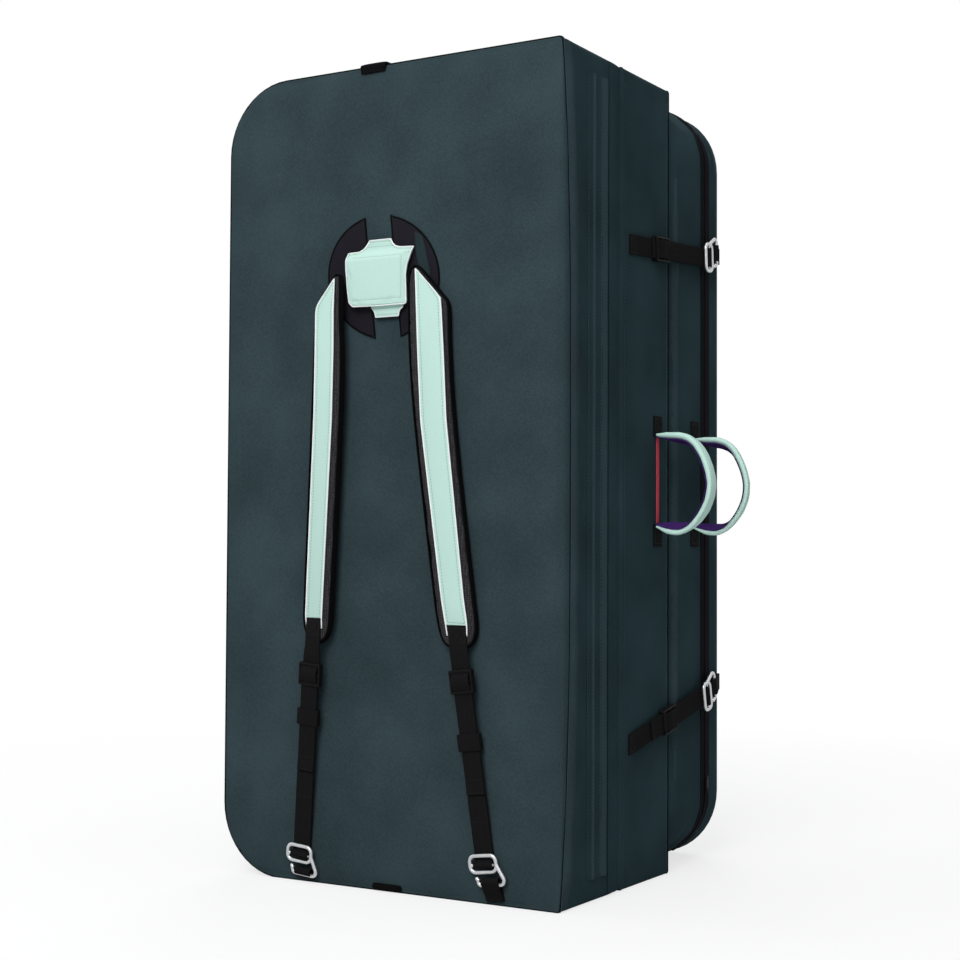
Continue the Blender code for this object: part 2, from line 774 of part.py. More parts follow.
def hook_mesh():
    """The bent hook: a closed ring with a cross bar for the webbing, and an open leg for the loop."""
    ring = []
    half_x = HOOK_RING_WIDTH / 2 - HOOK_WIRE_RADIUS - HOOK_RING_CORNER
    half_z = HOOK_TOP - HOOK_WIRE_RADIUS - HOOK_RING_CORNER
    for quarter, (side, level) in enumerate(((1, 1), (-1, 1), (-1, -1), (1, -1))):
        start = quarter * math.pi / 2
        turn = arc((side * half_x, level * half_z), HOOK_RING_CORNER, start, start + math.pi / 2, 3)
        ring += [(x, 0, z + HOOK_RING_RISE) for x, z in turn]
    body = wire("ring", ring, HOOK_WIRE_RADIUS, closed=True)
    edge = HOOK_EDGE
    bar = wire("bar", [(-edge, 0, 0), (edge, 0, 0)], HOOK_BAR_RADIUS)
    tip_x = -edge + HOOK_TIP_INSET
    foot = -HOOK_FOOT
    bend = HOOK_WIRE_RADIUS * 2
    leg = [
        (edge, 0, 0),
        (edge + HOOK_LEG_REACH / 3, 0, bend - HOOK_LOWER_RAIL),
        (edge + HOOK_LEG_REACH, 0, foot + bend),
        (edge + HOOK_LEG_REACH - bend / 6, 0, foot + bend / 3),
        (edge + HOOK_LEG_REACH - bend, 0, foot),
        (tip_x + bend, 0, foot),
        (tip_x + bend / 4, 0, foot + bend / 4),
        (tip_x, 0, foot + bend),
        (tip_x, 0, foot + HOOK_TIP_HEIGHT),
    ]
    return smooth(joined("hook", body, bar, wire("leg", leg, HOOK_WIRE_RADIUS))).data


def adjuster(name, width, length, layers_lift, side_room, bars):
    """A sleeve of two rails and cross bars round the two layers of webbing, centred on its own origin."""
    inner_low = -WEBBING_THICKNESS / 2 - ADJUSTER_ROOM
    inner_high = layers_lift + WEBBING_THICKNESS / 2 + ADJUSTER_ROOM
    half_inner = width / 2 + side_room
    half_outer = half_inner + ADJUSTER_RAIL
    low, high = inner_low - ADJUSTER_WALL, inner_high + ADJUSTER_WALL
    body = box(f"{name}_body", (-half_outer, -high, -length / 2), (half_outer, -low, length / 2))
    room = box(
        f"{name}_room",
        (-half_inner, -inner_high, -length / 2 - OVERRUN),
        (half_inner, -inner_low, length / 2 + OVERRUN),
    )
    cut(body, room)
    window = (length - ADJUSTER_BAR * (bars + 1)) / bars if bars else 0
    for i in range(bars):
        foot = -length / 2 + ADJUSTER_BAR + i * (window + ADJUSTER_BAR)
        opening = box(
            f"{name}_window_{i}",
            (-half_inner, -high - OVERRUN, foot),
            (half_inner, -inner_high + ADJUSTER_ROOM / 2, foot + window),
        )
        cut(body, opening)
    whole = baked(body)
    whole.name = name
    return whole


def slid(obj, at, finish, parent):
    """Places a piece at a distance down its strap."""
    obj.location = (0, 0, -at)
    return link(obj, finish, parent)


# Closure straps


def closure_basis(side, tilt, lift_angle):
    """A closure strap's frame: it runs backwards on the right wall and forwards on the left."""
    level = Vector((0, side * math.cos(tilt), math.sin(tilt)))
    out = Vector((side, 0, 0))
    along = level * math.cos(lift_angle) + out * math.sin(lift_angle)
    across = out.cross(level)
    return Matrix((across, -along.cross(across), -along)).transposed()


def closure_loop(name, side, tilt, bar):
    """The loop that the hook catches, sewn flat to the carry panel or over the rear panel's back edge."""
    turn = HOOK_WIRE_RADIUS + GAP + WEBBING_THICKNESS / 2
    inner = GAP + WEBBING_THICKNESS / 2
    outer = inner + WEBBING_THICKNESS + GAP
    at, out = side * bar.y, side * bar.x - HALF_WIDTH
    bend = arc((at, out), turn, -math.pi / 2, -math.pi * 3 / 2 - LOOP_WRAP, TURN_STEPS)
    if side > 0:
        flat = math.pi / 2
        near = edge_path(OUTER_END, -1, CRISP_EDGE, 0, flat, inner)
        far = edge_path(OUTER_END, -1, CRISP_EDGE, flat, 0, outer)
        ends = [(OUTER_END + lift + LOOP_LAP_RISE, -LOOP_LAP) for lift in (inner, outer)]
        path = [ends[0], *near, *bend, *far, ends[1]]
        level = [True, *[True] * len(near), *[False] * len(bend), *[True] * len(far), True]
    else:
        path = [(at + LOOP_LAP, inner), *bend, (at + LOOP_LAP, outer)]
        level = [False] * len(path)
    across = (0, -side * math.sin(tilt), math.cos(tilt))
    sides = [(0, 0, 1) if flat_on_edge else across for flat_on_edge in level]
    points = [
        (side * (HALF_WIDTH + off), side * along, (min(along, at + LOOP_LAP) - at) * math.tan(tilt))
        for along, off in path
    ]
    band = ribbon(name, points, sides, CLOSURE_LOOP_WIDTH, WEBBING_THICKNESS)
    band.location.z = bar.z
    link(band, "webbing")


def closure(side_name, level_name, hook):
    """One closure strap with its slider, hook and loop."""
    side = 1 if side_name == "right" else -1
    upper = level_name == "upper"
    height = UPPER_CLOSURE_HEIGHT if upper else LOWER_CLOSURE_HEIGHT
    tilt = UPPER_CLOSURE_TILT if upper else LOWER_CLOSURE_TILT
    reach = CLOSURE_HOOK_REACH if side > 0 else CLOSURE_HOOK_REACH - CARRY_HOOK_SHORTER
    lift_angle = math.asin((CLOSURE_HOOK_CLEAR - CLOSURE_START_LIFT) / reach)
    name = f"{side_name}_{level_name}_closure"
    start = Vector((side * (HALF_WIDTH + CLOSURE_START_LIFT), -side * CLOSURE_START, height))
    frame = empty(f"{name}_frame", start, closure_basis(side, tilt, lift_angle))
    upright = frame.matrix_basis.to_3x3().transposed() @ Vector((0, 0, 1))
    lead = [((0, CLOSURE_START_LIFT - CLOSURE_SEAM_LIFT, 0), upright), ((0, 0, -CLOSURE_LEAD), (1, 0, 0))]
    band = strap_webbing(f"{name}_webbing", lead, reach, CLOSURE_RETURN_START, CLOSURE_WIDTH)
    link(band, "webbing", frame)
    slider = adjuster(f"{name}_slider", CLOSURE_WIDTH, SLIDER_LENGTH, RETURN_LIFT, ADJUSTER_SIDE_ROOM, 2)
    slid(slider, UPPER_SLIDER_AT if upper else LOWER_SLIDER_AT, "black_plastic", frame)
    catch = bpy.data.objects.new(f"{name}_hook", hook)
    catch.location = (0, -HOOK_LIFT, -reach)
    link(catch, "aluminium", frame)
    bar = frame.matrix_basis @ Vector((HOOK_LOOP_X, -HOOK_LIFT, -reach - HOOK_FOOT))
    closure_loop(f"{name}_loop", side, tilt, bar)


# Carry harness


def segment_outline(side):
    """One D of the base: a leaning disc left of, or right of, the band down its middle."""
    half_angle = math.acos(PATCH_HALF_BAND / PATCH_HALF_WIDTH)
    middle = 0 if side > 0 else math.pi
    turns = arc((0, 0), 1, middle - half_angle, middle + half_angle, 3 * TURN_STEPS)
    disc = [(x * PATCH_HALF_WIDTH, z * PATCH_HALF_HEIGHT) for x, z in turns]
    return [(x - z * PATCH_LEAN, z) for x, z in disc]


def make_harness_base():
    frame = empty("harness_frame", (HARNESS_X, FACE_Y, HARNESS_HEIGHT))
    for name, side in (("left", -1), ("right", 1)):
        patch = flat_piece(f"harness_patch_{name}", segment_outline(side), PATCH_THICKNESS)
        patch.location.y = -GAP - PATCH_THICKNESS / 2
        link(patch, "webbing", frame)
    back = -2 * GAP - PATCH_THICKNESS
    middle = flat_piece("yoke_middle", YOKE_OUTLINE, YOKE_THICKNESS)
    middle = baked(rounded(middle, YOKE_ROUNDING))
    middle.data.transform(Matrix.Translation((0, back - YOKE_THICKNESS / 2, 0)))
    tabs = []
    for name, outline_of_tab in (("top", YOKE_TOP_TAB), ("bottom", YOKE_BOTTOM_TAB)):
        tab = flat_piece(f"yoke_{name}", outline_of_tab, YOKE_TAB_THICKNESS)
        tab.data.transform(Matrix.Translation((0, back - YOKE_ROUNDING - YOKE_TAB_THICKNESS / 2, 0)))
        tabs.append(tab)
    link(smooth(joined("harness_yoke", middle, *tabs)), "mint_fabric", frame)


def shoulder_strap(side_name, place, hook):
    """A padded strap with its facing, webbing, ladder lock, keeper and hook, and the loop under the hook."""
    name = f"{side_name}_shoulder"
    roll = -place["roll"]
    pivot = place["pivot"]
    pad_back = -2 * GAP - PATCH_THICKNESS - STRAP_PAD_LIFT
    pad_front = pad_back - STRAP_PAD_THICKNESS
    facing_front = pad_front - GAP - FACING_THICKNESS
    basis = Matrix.Rotation(roll, 3, "Z")
    frame = empty(f"{name}_frame", (pivot, FACE_Y + facing_front, STRAP_TOP), basis)

    def local(x, z):
        return (x - pivot) / math.cos(roll), z - STRAP_TOP

    pad = flat_piece(f"{name}_strap_pad", [local(x, z) for x, z in place["pad"]], STRAP_PAD_THICKNESS)
    pad = baked(rounded(pad, STRAP_PAD_ROUNDING))
    pad.location.y = (pad_back + pad_front) / 2 - facing_front
    link(smooth(pad), "spacer_mesh", frame)
    facing = flat_piece(f"{name}_strap_facing", [local(x, z) for x, z in place["facing"]], FACING_THICKNESS)
    facing.location.y = FACING_THICKNESS / 2
    link(facing, "mint_fabric", frame)

    def on_pad(point, lower_by):
        x, z = local(*point)
        return frame.matrix_basis @ Vector((x, FACING_THICKNESS - WEBBING_THICKNESS / 2, z - lower_by))

    sewn = on_pad(place["sewn"], SEAM_GAP)
    start = on_pad(place["start"], SEAM_GAP)
    lower = webbing_frame(name, start, place["hook"])
    reach = place_reach(start, place["hook"])
    back = lower.matrix_basis.inverted() @ sewn
    rolled_side = lower.matrix_basis.to_3x3().inverted() @ basis @ Vector((1, 0, 0))
    lead = [(back, rolled_side), ((0, 0, 0), rolled_side), ((0, 0, -SHOULDER_UNTWIST), (1, 0, 0))]
    run = strap_webbing(f"{name}_run", lead, reach, reach - SHOULDER_RETURN, SHOULDER_WEBBING_WIDTH)
    link(joined(f"{name}_webbing", run, webbing_tail(name, place["tail"])), "webbing", lower)
    lock = adjuster(
        f"{name}_ladder_lock", SHOULDER_WEBBING_WIDTH, LOCK_LENGTH, RETURN_LIFT, ADJUSTER_SIDE_ROOM, 2
    )
    slid(lock, LOCK_AT, "black_plastic", lower)
    keeper = adjuster(
        f"{name}_keeper", SHOULDER_WEBBING_WIDTH, KEEPER_LENGTH, RETURN_LIFT, KEEPER_SIDE_ROOM, 0
    )
    slid(keeper, place["keeper"], "webbing", lower)
    catch = bpy.data.objects.new(f"{name}_hook", hook)
    catch.location = (0, -HOOK_LIFT, -reach)
    link(catch, "aluminium", lower)
    bar = lower.matrix_basis @ Vector((HOOK_LOOP_X, -HOOK_LIFT, -reach - HOOK_FOOT))
    shoulder_loop(f"{name}_anchor_loop", bar, lower.matrix_basis.col[0].xyz, lower.matrix_basis.col[2].xyz)


def hook_end(hook):
    """The point where a shoulder strap's webbing passes its hook's bar."""
    return Vector((hook[0], FACE_Y - SHOULDER_HOOK_CLEAR - WEBBING_THICKNESS / 2, hook[1]))


def place_reach(start, hook):
    return (hook_end(hook) - start).length


def webbing_frame(name, start, hook):
    """The frame of a shoulder strap's lower webbing: its -Z runs from the pad to the hook."""
    up = (start - hook_end(hook)).normalized()
    across = (Vector((1, 0, 0)) - up * up.x).normalized()
    return empty(f"{name}_webbing_frame", start, Matrix((across, up.cross(across), up)).transposed())


def webbing_tail(name, end):
    """The loose end in front of the webbing, from inside the ladder lock down through the keeper."""
    turn = RETURN_LIFT / 2
    fold = arc((LOCK_AT, turn), turn, -math.pi / 2, -math.pi * 3 / 2, TURN_STEPS)
    path = [(LOCK_AT + LOCK_LENGTH / 4, 0), *fold, (end, RETURN_LIFT)]
    points = [(0, -out, -along) for along, out in path]
    width, thickness = SHOULDER_WEBBING_WIDTH - GAP, WEBBING_THICKNESS - GAP / 2
    return ribbon(f"{name}_tail", points, (1, 0, 0), width, thickness)


def shoulder_loop(name, bar, across, down):
    """The loop that rises from the bottom seam of the carry panel, through the hook and back."""
    turn = HOOK_WIRE_RADIUS + GAP + WEBBING_THICKNESS / 2
    seam_y = -OUTER_END - GAP - WEBBING_THICKNESS / 2
    outer_y = seam_y - WEBBING_THICKNESS - GAP
    bend = arc((bar.y, bar.z), turn, SHOULDER_LOOP_START, SHOULDER_LOOP_END, TURN_STEPS)
    path = [(seam_y, SHOULDER_LOOP_FOOT), *bend, (outer_y, SHOULDER_LOOP_FOOT)]
    points = [(bar.x + (z - bar.z) * down.x / down.z, y, z) for y, z in path]
    link(ribbon(name, points, across, SHOULDER_LOOP_WIDTH, WEBBING_THICKNESS), "webbing")


# Handles and edge tabs


def inside_path(offset):
    """The handle's outer line moved inwards, its two ends kept at the wall."""
    path = [Vector(point) for point in HANDLE_PROFILE]
    moved = []
    for i, point in enumerate(path):
        before, after = path[max(i - 1, 0)], path[min(i + 1, len(path) - 1)]
        direction = (after - before).normalized()
        moved.append(point + Vector((direction.y, -direction.x)) * offset)
    moved[0].x = moved[-1].x = 0
    return [(point.x, 0, point.y) for point in moved]


def handle(name, y, turn):
    """A sewn base with a padded loop standing on it, lined inside and turned a little at its middle."""
    wall = HALF_WIDTH + GAP
    half_base = HANDLE_BASE_LENGTH / 2
    base = box(
        f"{name}_base",
        (wall, y - HANDLE_BASE_WIDTH / 2, HANDLE_HEIGHT - half_base),
        (wall + WEBBING_THICKNESS, y + HANDLE_BASE_WIDTH / 2, HANDLE_HEIGHT + half_base),
    )
    link(base, "webbing")
    root = WEBBING_THICKNESS + 2 * GAP
    frame = empty(f"{name}_frame", (HALF_WIDTH + root, y, HANDLE_HEIGHT))
    reach = max(out for out, z in HANDLE_PROFILE)
    turns = [turn * math.sin(math.pi / 2 * out / reach) for out, z in HANDLE_PROFILE]
    sides = [Vector((-math.sin(angle), math.cos(angle), 0)) for angle in turns]
    grip = ribbon(f"{name}_grip", inside_path(HANDLE_THICKNESS / 2), sides, HANDLE_WIDTH, HANDLE_THICKNESS)
    link(smooth(baked(rounded(grip, HANDLE_ROUNDING, 1))), "mint_fabric", frame)
    inside = HANDLE_THICKNESS + GAP + LINING_THICKNESS / 2
    lining = ribbon(f"{name}_lining", inside_path(inside), sides, LINING_WIDTH, LINING_THICKNESS)
    link(lining, "purple_lining", frame)


def edge_tabs():
    """Folded webbing tabs sewn over the top and bottom edges of the carry face."""
    half = TAB_THICKNESS / 2
    front = -OUTER_END - half - TAB_LIFT
    top = PAD_HEIGHT + half + GAP
    turn = CRISP_EDGE[0]
    corner = arc((front + turn, top - turn), turn, math.pi, math.pi / 2, TURN_STEPS // 2)
    path = [(front, PAD_HEIGHT - TAB_DROP - turn), *corner, (front + TAB_LAP, top)]
    points = [(TOP_TAB_X, y, z) for y, z in path]
    link(ribbon("top_edge_tab", points, (1, 0, 0), TOP_TAB_WIDTH, TAB_THICKNESS), "webbing")
    low = BOTTOM_TAB_FOOT
    path = [(front + half / 2, low), (front, low + half), (front, BOTTOM_TAB_HEIGHT)]
    points = [(BOTTOM_TAB_X, y, z) for y, z in path]
    link(ribbon("bottom_edge_tab", points, (1, 0, 0), BOTTOM_TAB_WIDTH, TAB_THICKNESS), "webbing")


def main():
    clear_scene()
    make_panels()
    make_zips()
    fold_gusset("front_fold_gusset", 1)
    fold_gusset("rear_fold_gusset", -1)
    fold_strip("front_fold_strip", 1)
    fold_strip("rear_fold_strip", -1)
    hook = hook_mesh()
    make_harness_base()
    for side_name, place in SHOULDERS.items():
        shoulder_strap(side_name, place, hook)
    for side_name in ("right", "left"):
        for level_name in ("upper", "lower"):
            closure(side_name, level_name, hook)
    handle("centre_handle", CENTRE_HANDLE_Y, CENTRE_HANDLE_TURN)
    handle("rear_handle", REAR_HANDLE_Y, REAR_HANDLE_TURN)
    edge_tabs()


main()
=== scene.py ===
"""The crash pad as it looks: stuffed covers, sewn strips, zips, harness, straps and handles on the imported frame."""

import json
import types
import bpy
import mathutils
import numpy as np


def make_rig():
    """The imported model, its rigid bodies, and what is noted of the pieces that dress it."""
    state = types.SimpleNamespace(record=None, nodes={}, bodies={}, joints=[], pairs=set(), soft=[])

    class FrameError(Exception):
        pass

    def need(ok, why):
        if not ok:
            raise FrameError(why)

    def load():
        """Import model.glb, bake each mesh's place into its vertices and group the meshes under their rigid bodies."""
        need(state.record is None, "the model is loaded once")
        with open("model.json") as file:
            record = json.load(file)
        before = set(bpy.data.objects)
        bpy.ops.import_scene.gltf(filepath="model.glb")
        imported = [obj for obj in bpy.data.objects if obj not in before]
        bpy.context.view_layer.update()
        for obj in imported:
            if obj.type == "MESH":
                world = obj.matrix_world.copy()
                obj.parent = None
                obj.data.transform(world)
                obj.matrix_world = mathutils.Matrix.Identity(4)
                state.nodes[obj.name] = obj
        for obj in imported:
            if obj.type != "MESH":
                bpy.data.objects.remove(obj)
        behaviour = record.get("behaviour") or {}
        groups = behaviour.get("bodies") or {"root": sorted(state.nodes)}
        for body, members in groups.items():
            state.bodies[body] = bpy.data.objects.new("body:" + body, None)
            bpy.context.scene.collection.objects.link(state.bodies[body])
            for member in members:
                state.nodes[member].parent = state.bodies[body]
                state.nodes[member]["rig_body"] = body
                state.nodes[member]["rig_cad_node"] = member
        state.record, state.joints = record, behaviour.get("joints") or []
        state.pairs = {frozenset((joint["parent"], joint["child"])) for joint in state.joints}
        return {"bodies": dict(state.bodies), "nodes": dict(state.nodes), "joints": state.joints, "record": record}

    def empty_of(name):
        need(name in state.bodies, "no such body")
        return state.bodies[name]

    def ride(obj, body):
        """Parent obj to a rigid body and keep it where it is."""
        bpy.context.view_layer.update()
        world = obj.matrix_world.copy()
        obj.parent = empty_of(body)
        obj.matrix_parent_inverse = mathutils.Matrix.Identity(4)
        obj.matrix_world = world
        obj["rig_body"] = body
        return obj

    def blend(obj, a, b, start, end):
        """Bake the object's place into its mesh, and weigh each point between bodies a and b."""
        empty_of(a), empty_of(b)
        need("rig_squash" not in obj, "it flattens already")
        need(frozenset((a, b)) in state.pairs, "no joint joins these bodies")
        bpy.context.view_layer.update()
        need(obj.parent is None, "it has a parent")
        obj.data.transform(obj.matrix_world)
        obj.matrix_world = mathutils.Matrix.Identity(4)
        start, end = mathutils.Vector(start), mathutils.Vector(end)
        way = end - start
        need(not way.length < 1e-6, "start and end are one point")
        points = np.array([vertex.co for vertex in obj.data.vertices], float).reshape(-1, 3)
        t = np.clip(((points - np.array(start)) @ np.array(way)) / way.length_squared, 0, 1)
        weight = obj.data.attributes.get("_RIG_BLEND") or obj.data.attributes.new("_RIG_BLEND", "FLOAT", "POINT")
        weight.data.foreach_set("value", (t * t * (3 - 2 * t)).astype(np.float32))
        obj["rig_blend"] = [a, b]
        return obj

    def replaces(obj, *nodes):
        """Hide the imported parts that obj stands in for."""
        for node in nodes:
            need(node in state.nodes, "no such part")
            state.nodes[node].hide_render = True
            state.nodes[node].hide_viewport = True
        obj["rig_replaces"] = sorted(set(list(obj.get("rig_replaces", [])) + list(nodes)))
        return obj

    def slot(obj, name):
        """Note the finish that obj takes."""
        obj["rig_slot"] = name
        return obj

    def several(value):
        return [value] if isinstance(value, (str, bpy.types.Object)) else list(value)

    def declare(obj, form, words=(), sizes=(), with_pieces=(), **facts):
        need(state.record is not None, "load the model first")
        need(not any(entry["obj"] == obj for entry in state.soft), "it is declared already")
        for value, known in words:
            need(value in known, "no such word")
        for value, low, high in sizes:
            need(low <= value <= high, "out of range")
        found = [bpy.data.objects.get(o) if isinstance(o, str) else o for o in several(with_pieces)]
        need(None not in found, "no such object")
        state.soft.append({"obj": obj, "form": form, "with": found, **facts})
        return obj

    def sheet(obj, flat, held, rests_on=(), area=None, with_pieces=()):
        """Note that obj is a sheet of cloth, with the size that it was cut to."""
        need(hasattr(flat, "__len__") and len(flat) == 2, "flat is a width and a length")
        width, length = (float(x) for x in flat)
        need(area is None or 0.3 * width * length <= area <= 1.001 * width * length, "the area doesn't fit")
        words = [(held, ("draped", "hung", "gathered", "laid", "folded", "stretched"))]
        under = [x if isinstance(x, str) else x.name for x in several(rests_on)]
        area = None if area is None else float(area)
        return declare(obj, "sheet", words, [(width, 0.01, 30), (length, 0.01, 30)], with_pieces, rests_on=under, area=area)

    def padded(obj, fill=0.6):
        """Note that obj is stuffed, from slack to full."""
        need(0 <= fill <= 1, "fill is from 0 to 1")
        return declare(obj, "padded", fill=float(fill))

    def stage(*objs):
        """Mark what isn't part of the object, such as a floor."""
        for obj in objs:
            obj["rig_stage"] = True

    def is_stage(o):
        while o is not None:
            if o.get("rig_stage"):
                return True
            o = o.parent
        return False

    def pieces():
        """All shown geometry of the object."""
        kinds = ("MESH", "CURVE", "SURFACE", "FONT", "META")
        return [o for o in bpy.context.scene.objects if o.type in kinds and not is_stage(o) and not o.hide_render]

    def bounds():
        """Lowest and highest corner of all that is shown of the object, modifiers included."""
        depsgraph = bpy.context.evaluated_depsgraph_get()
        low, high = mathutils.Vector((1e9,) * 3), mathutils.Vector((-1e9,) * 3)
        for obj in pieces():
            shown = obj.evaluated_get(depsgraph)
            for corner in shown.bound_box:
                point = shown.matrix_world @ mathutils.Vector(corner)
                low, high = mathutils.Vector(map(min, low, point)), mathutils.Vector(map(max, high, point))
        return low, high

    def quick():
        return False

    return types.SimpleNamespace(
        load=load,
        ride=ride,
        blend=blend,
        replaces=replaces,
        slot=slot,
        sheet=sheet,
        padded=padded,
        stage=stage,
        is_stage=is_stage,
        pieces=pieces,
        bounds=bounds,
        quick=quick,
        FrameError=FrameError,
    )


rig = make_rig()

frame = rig.load()

import json
import math

import bpy
import numpy as np
from mathutils import Matrix, Vector, noise

SIZES = {"cad_box": [list(map(float, corner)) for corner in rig.bounds()]}
FULL = math.tau

# Pad, in metres
HALF_WIDTH = 0.2425
HEIGHT = 1.000
REAR_TOP = 1.008
OUTER = 0.221
INNER = 0.070
CENTRE_FACE = 0.0685
CROWN = 0.003
CROWN_REACH = 0.150
FACE = -OUTER - CROWN
FREE_CORNER = 0.088
SEWN_CORNER = 0.004
# How a wall rounds into a face: over what depth, and how far it draws in
CRISP = (0.0035, 0.0020)
FOLD = (0.034, 0.0045)
SQUARE = (0.005, 0.003)
PANELS = {
    "carry": dict(front=-OUTER, back=-INNER, edges=(CRISP, FOLD), free=-1, top=HEIGHT, crown=(CROWN, 0)),
    "centre": dict(front=-CENTRE_FACE, back=CENTRE_FACE, edges=(SQUARE, SQUARE), free=0, top=HEIGHT, crown=(0, 0)),
    "rear": dict(front=INNER, back=OUTER, edges=(FOLD, CRISP), free=1, top=REAR_TOP, crown=(0, CROWN)),
}
COVER_WALL = 0.0025
LANDING_FOAM = 0.030
GRID_STEP = 0.0095
WALL_STEP = 0.0045
SEAM_GRID = (0, 0.0008, 0.0020, 0.0040, 0.0075, 0.0130)
PIPING = 0.0013
PIPING_SET = 0.0034
# The carry panel's soft right front edge, and the roll of cloth behind it
EDGE_ROLL = 0.014
EDGE_SWELL = 0.004
EDGE_END = 0.058
ROLL_HEIGHT = 0.0042
ROLL_PEAK = 0.011
# The rear wall's ridge
RIDGE = 0.0024
RIDGE_SET = 0.019
RIDGE_HALF = 0.0052

# Webbing and hooks
TAPE = 0.0016
GAP = 0.0003
WIRE = 0.0030
ROD = 0.0025
BAR = 0.0016
RING_WIDTH = 0.041
RING_TOP = 0.0125
RING_CORNER = 0.007
RING_RISE = 0.0015
HOOK_LENGTH = 0.0365
LEG_REACH = 0.0075
TIP_HEIGHT = 0.0065
TIP_INSET = 0.007
HOOK_LIFT = 0.0062
RETURN_LIFT = 0.0020
RAIL = RING_TOP + RING_RISE - WIRE
LOWER_RAIL = RING_TOP - RING_RISE - WIRE
FOOT = HOOK_LENGTH - RING_TOP - RING_RISE - WIRE
EDGE = RING_WIDTH / 2 - WIRE
LOOP_X = (TIP_INSET + LEG_REACH) / 2
LOOP_TURN = WIRE + GAP + TAPE / 2
WEBBING_STITCH = dict(length=0.0022, pitch=0.0031, thick=0.0006)


# Selecting and shaping


def frame_at(origin, basis):
    made = basis.to_4x4()
    made.translation = origin
    return made


def arc(centre, radius, first, last, count):
    """Points of a plane round a centre, from one angle to another."""
    return [
        (centre[0] + radius * math.cos(a), centre[1] + radius * math.sin(a)) for a in np.linspace(first, last, count)
    ]


def fresh(adder, name, **how):
    """A new primitive, alone in the selection."""
    bpy.ops.object.select_all(action="DESELECT")
    adder(**how)
    made = bpy.context.object
    made.name = made.data.name = name
    return made


def alone(piece):
    bpy.ops.object.select_all(action="DESELECT")
    piece.select_set(True)
    bpy.context.view_layer.objects.active = piece


def choose(piece, kind, wanted):
    """Enters edit mode with the vertices, edges or faces that pass a test selected."""
    alone(piece)
    bpy.ops.object.mode_set(mode="EDIT")
    bpy.ops.mesh.select_mode(type=kind)
    bpy.ops.mesh.select_all(action="DESELECT")
    bpy.ops.object.mode_set(mode="OBJECT")
    mesh = piece.data
    parts = {"VERT": mesh.vertices, "EDGE": mesh.edges, "FACE": mesh.polygons}[kind]
    for part in parts:
        part.select = bool(wanted(part))
    bpy.ops.object.mode_set(mode="EDIT")


def leave():
    bpy.ops.object.mode_set(mode="OBJECT")


def settle(piece, place=None):
    """Puts a piece's place into its mesh."""
    bpy.context.view_layer.update()
    piece.data.transform(piece.matrix_world)
    piece.matrix_world = Matrix.Identity(4)
    if place is not None:
        piece.data.transform(place)
    piece.data.update()
    return piece


def shape(piece, kind, **settings):
    """Adds a modifier and applies it."""
    alone(piece)
    step = piece.modifiers.new(kind.lower(), kind)
    for key, value in settings.items():
        setattr(step, key, value)
    bpy.ops.object.modifier_apply(modifier=step.name)
    return piece


def softened(piece):
    return shape(piece, "SUBSURF", levels=1, render_levels=1)


def bevelled(piece, width, segments=2, angle=60):
    """Rounds the edges that turn by more than an angle."""
    return shape(
        piece, "BEVEL", width=width, segments=segments, limit_method="ANGLE", angle_limit=math.radians(angle)
    )


def shaded(piece, angle=40):
    alone(piece)
    bpy.ops.object.shade_smooth_by_angle(angle=math.radians(angle))
    return piece


def combined(name, *pieces):
    """Several pieces joined into the first."""
    bpy.ops.object.select_all(action="DESELECT")
    for piece in pieces:
        piece.select_set(True)
    bpy.context.view_layer.objects.active = pieces[0]
    bpy.ops.object.join()
    pieces[0].name = pieces[0].data.name = name
    return pieces[0]


def twin(piece, name, place):
    """A copy of a modelled shape with its own mesh, at its place."""
    made = piece.copy()
    made.data = piece.data.copy()
    made.name = made.data.name = name
    bpy.context.scene.collection.objects.link(made)
    made.data.transform(place)
    return made


def block(name, size, middle=(0, 0, 0)):
    """A box round its middle."""
    return settle(fresh(bpy.ops.mesh.primitive_cube_add, name, size=1, scale=size, location=middle))


def level_rod(name, radius, length, middle, sides):
    """A round bar along X."""
    return settle(fresh(
        bpy.ops.mesh.primitive_cylinder_add, name, vertices=sides, radius=radius, depth=length, location=middle,
        rotation=(0, math.pi / 2, 0),
    ))


def cut_from(piece, cutter):
    """Cuts one form out of another, and the cutter goes."""
    shape(piece, "BOOLEAN", operation="DIFFERENCE", solver="EXACT", object=cutter)
    bpy.data.objects.remove(cutter)


def form_of(piece):
    """The points and faces of a small piece that is only a pattern, and the piece goes."""
    form = ([tuple(v.co) for v in piece.data.vertices], [tuple(f.vertices) for f in piece.data.polygons])
    bpy.data.objects.remove(piece)
    return form


def flat_unwrapped(piece):
    """Unwraps a piece from its six sides, one unit of the map to a metre."""
    choose(piece, "FACE", lambda face: True)
    bpy.ops.uv.cube_project(cube_size=1.0, scale_to_bounds=False)
    leave()
    return piece


def finished(piece, body, *stands_for, slot=None, finish=None):
    """Gives a piece its finish, the body it moves with and the nodes it stands for."""
    if finish is not None:
        piece.data.materials.clear()
        piece.data.materials.append(finish)
    if body:
        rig.ride(piece, body)
    if stands_for:
        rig.replaces(piece, *stands_for)
    if slot:
        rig.slot(piece, slot)
    return piece


# Finishes


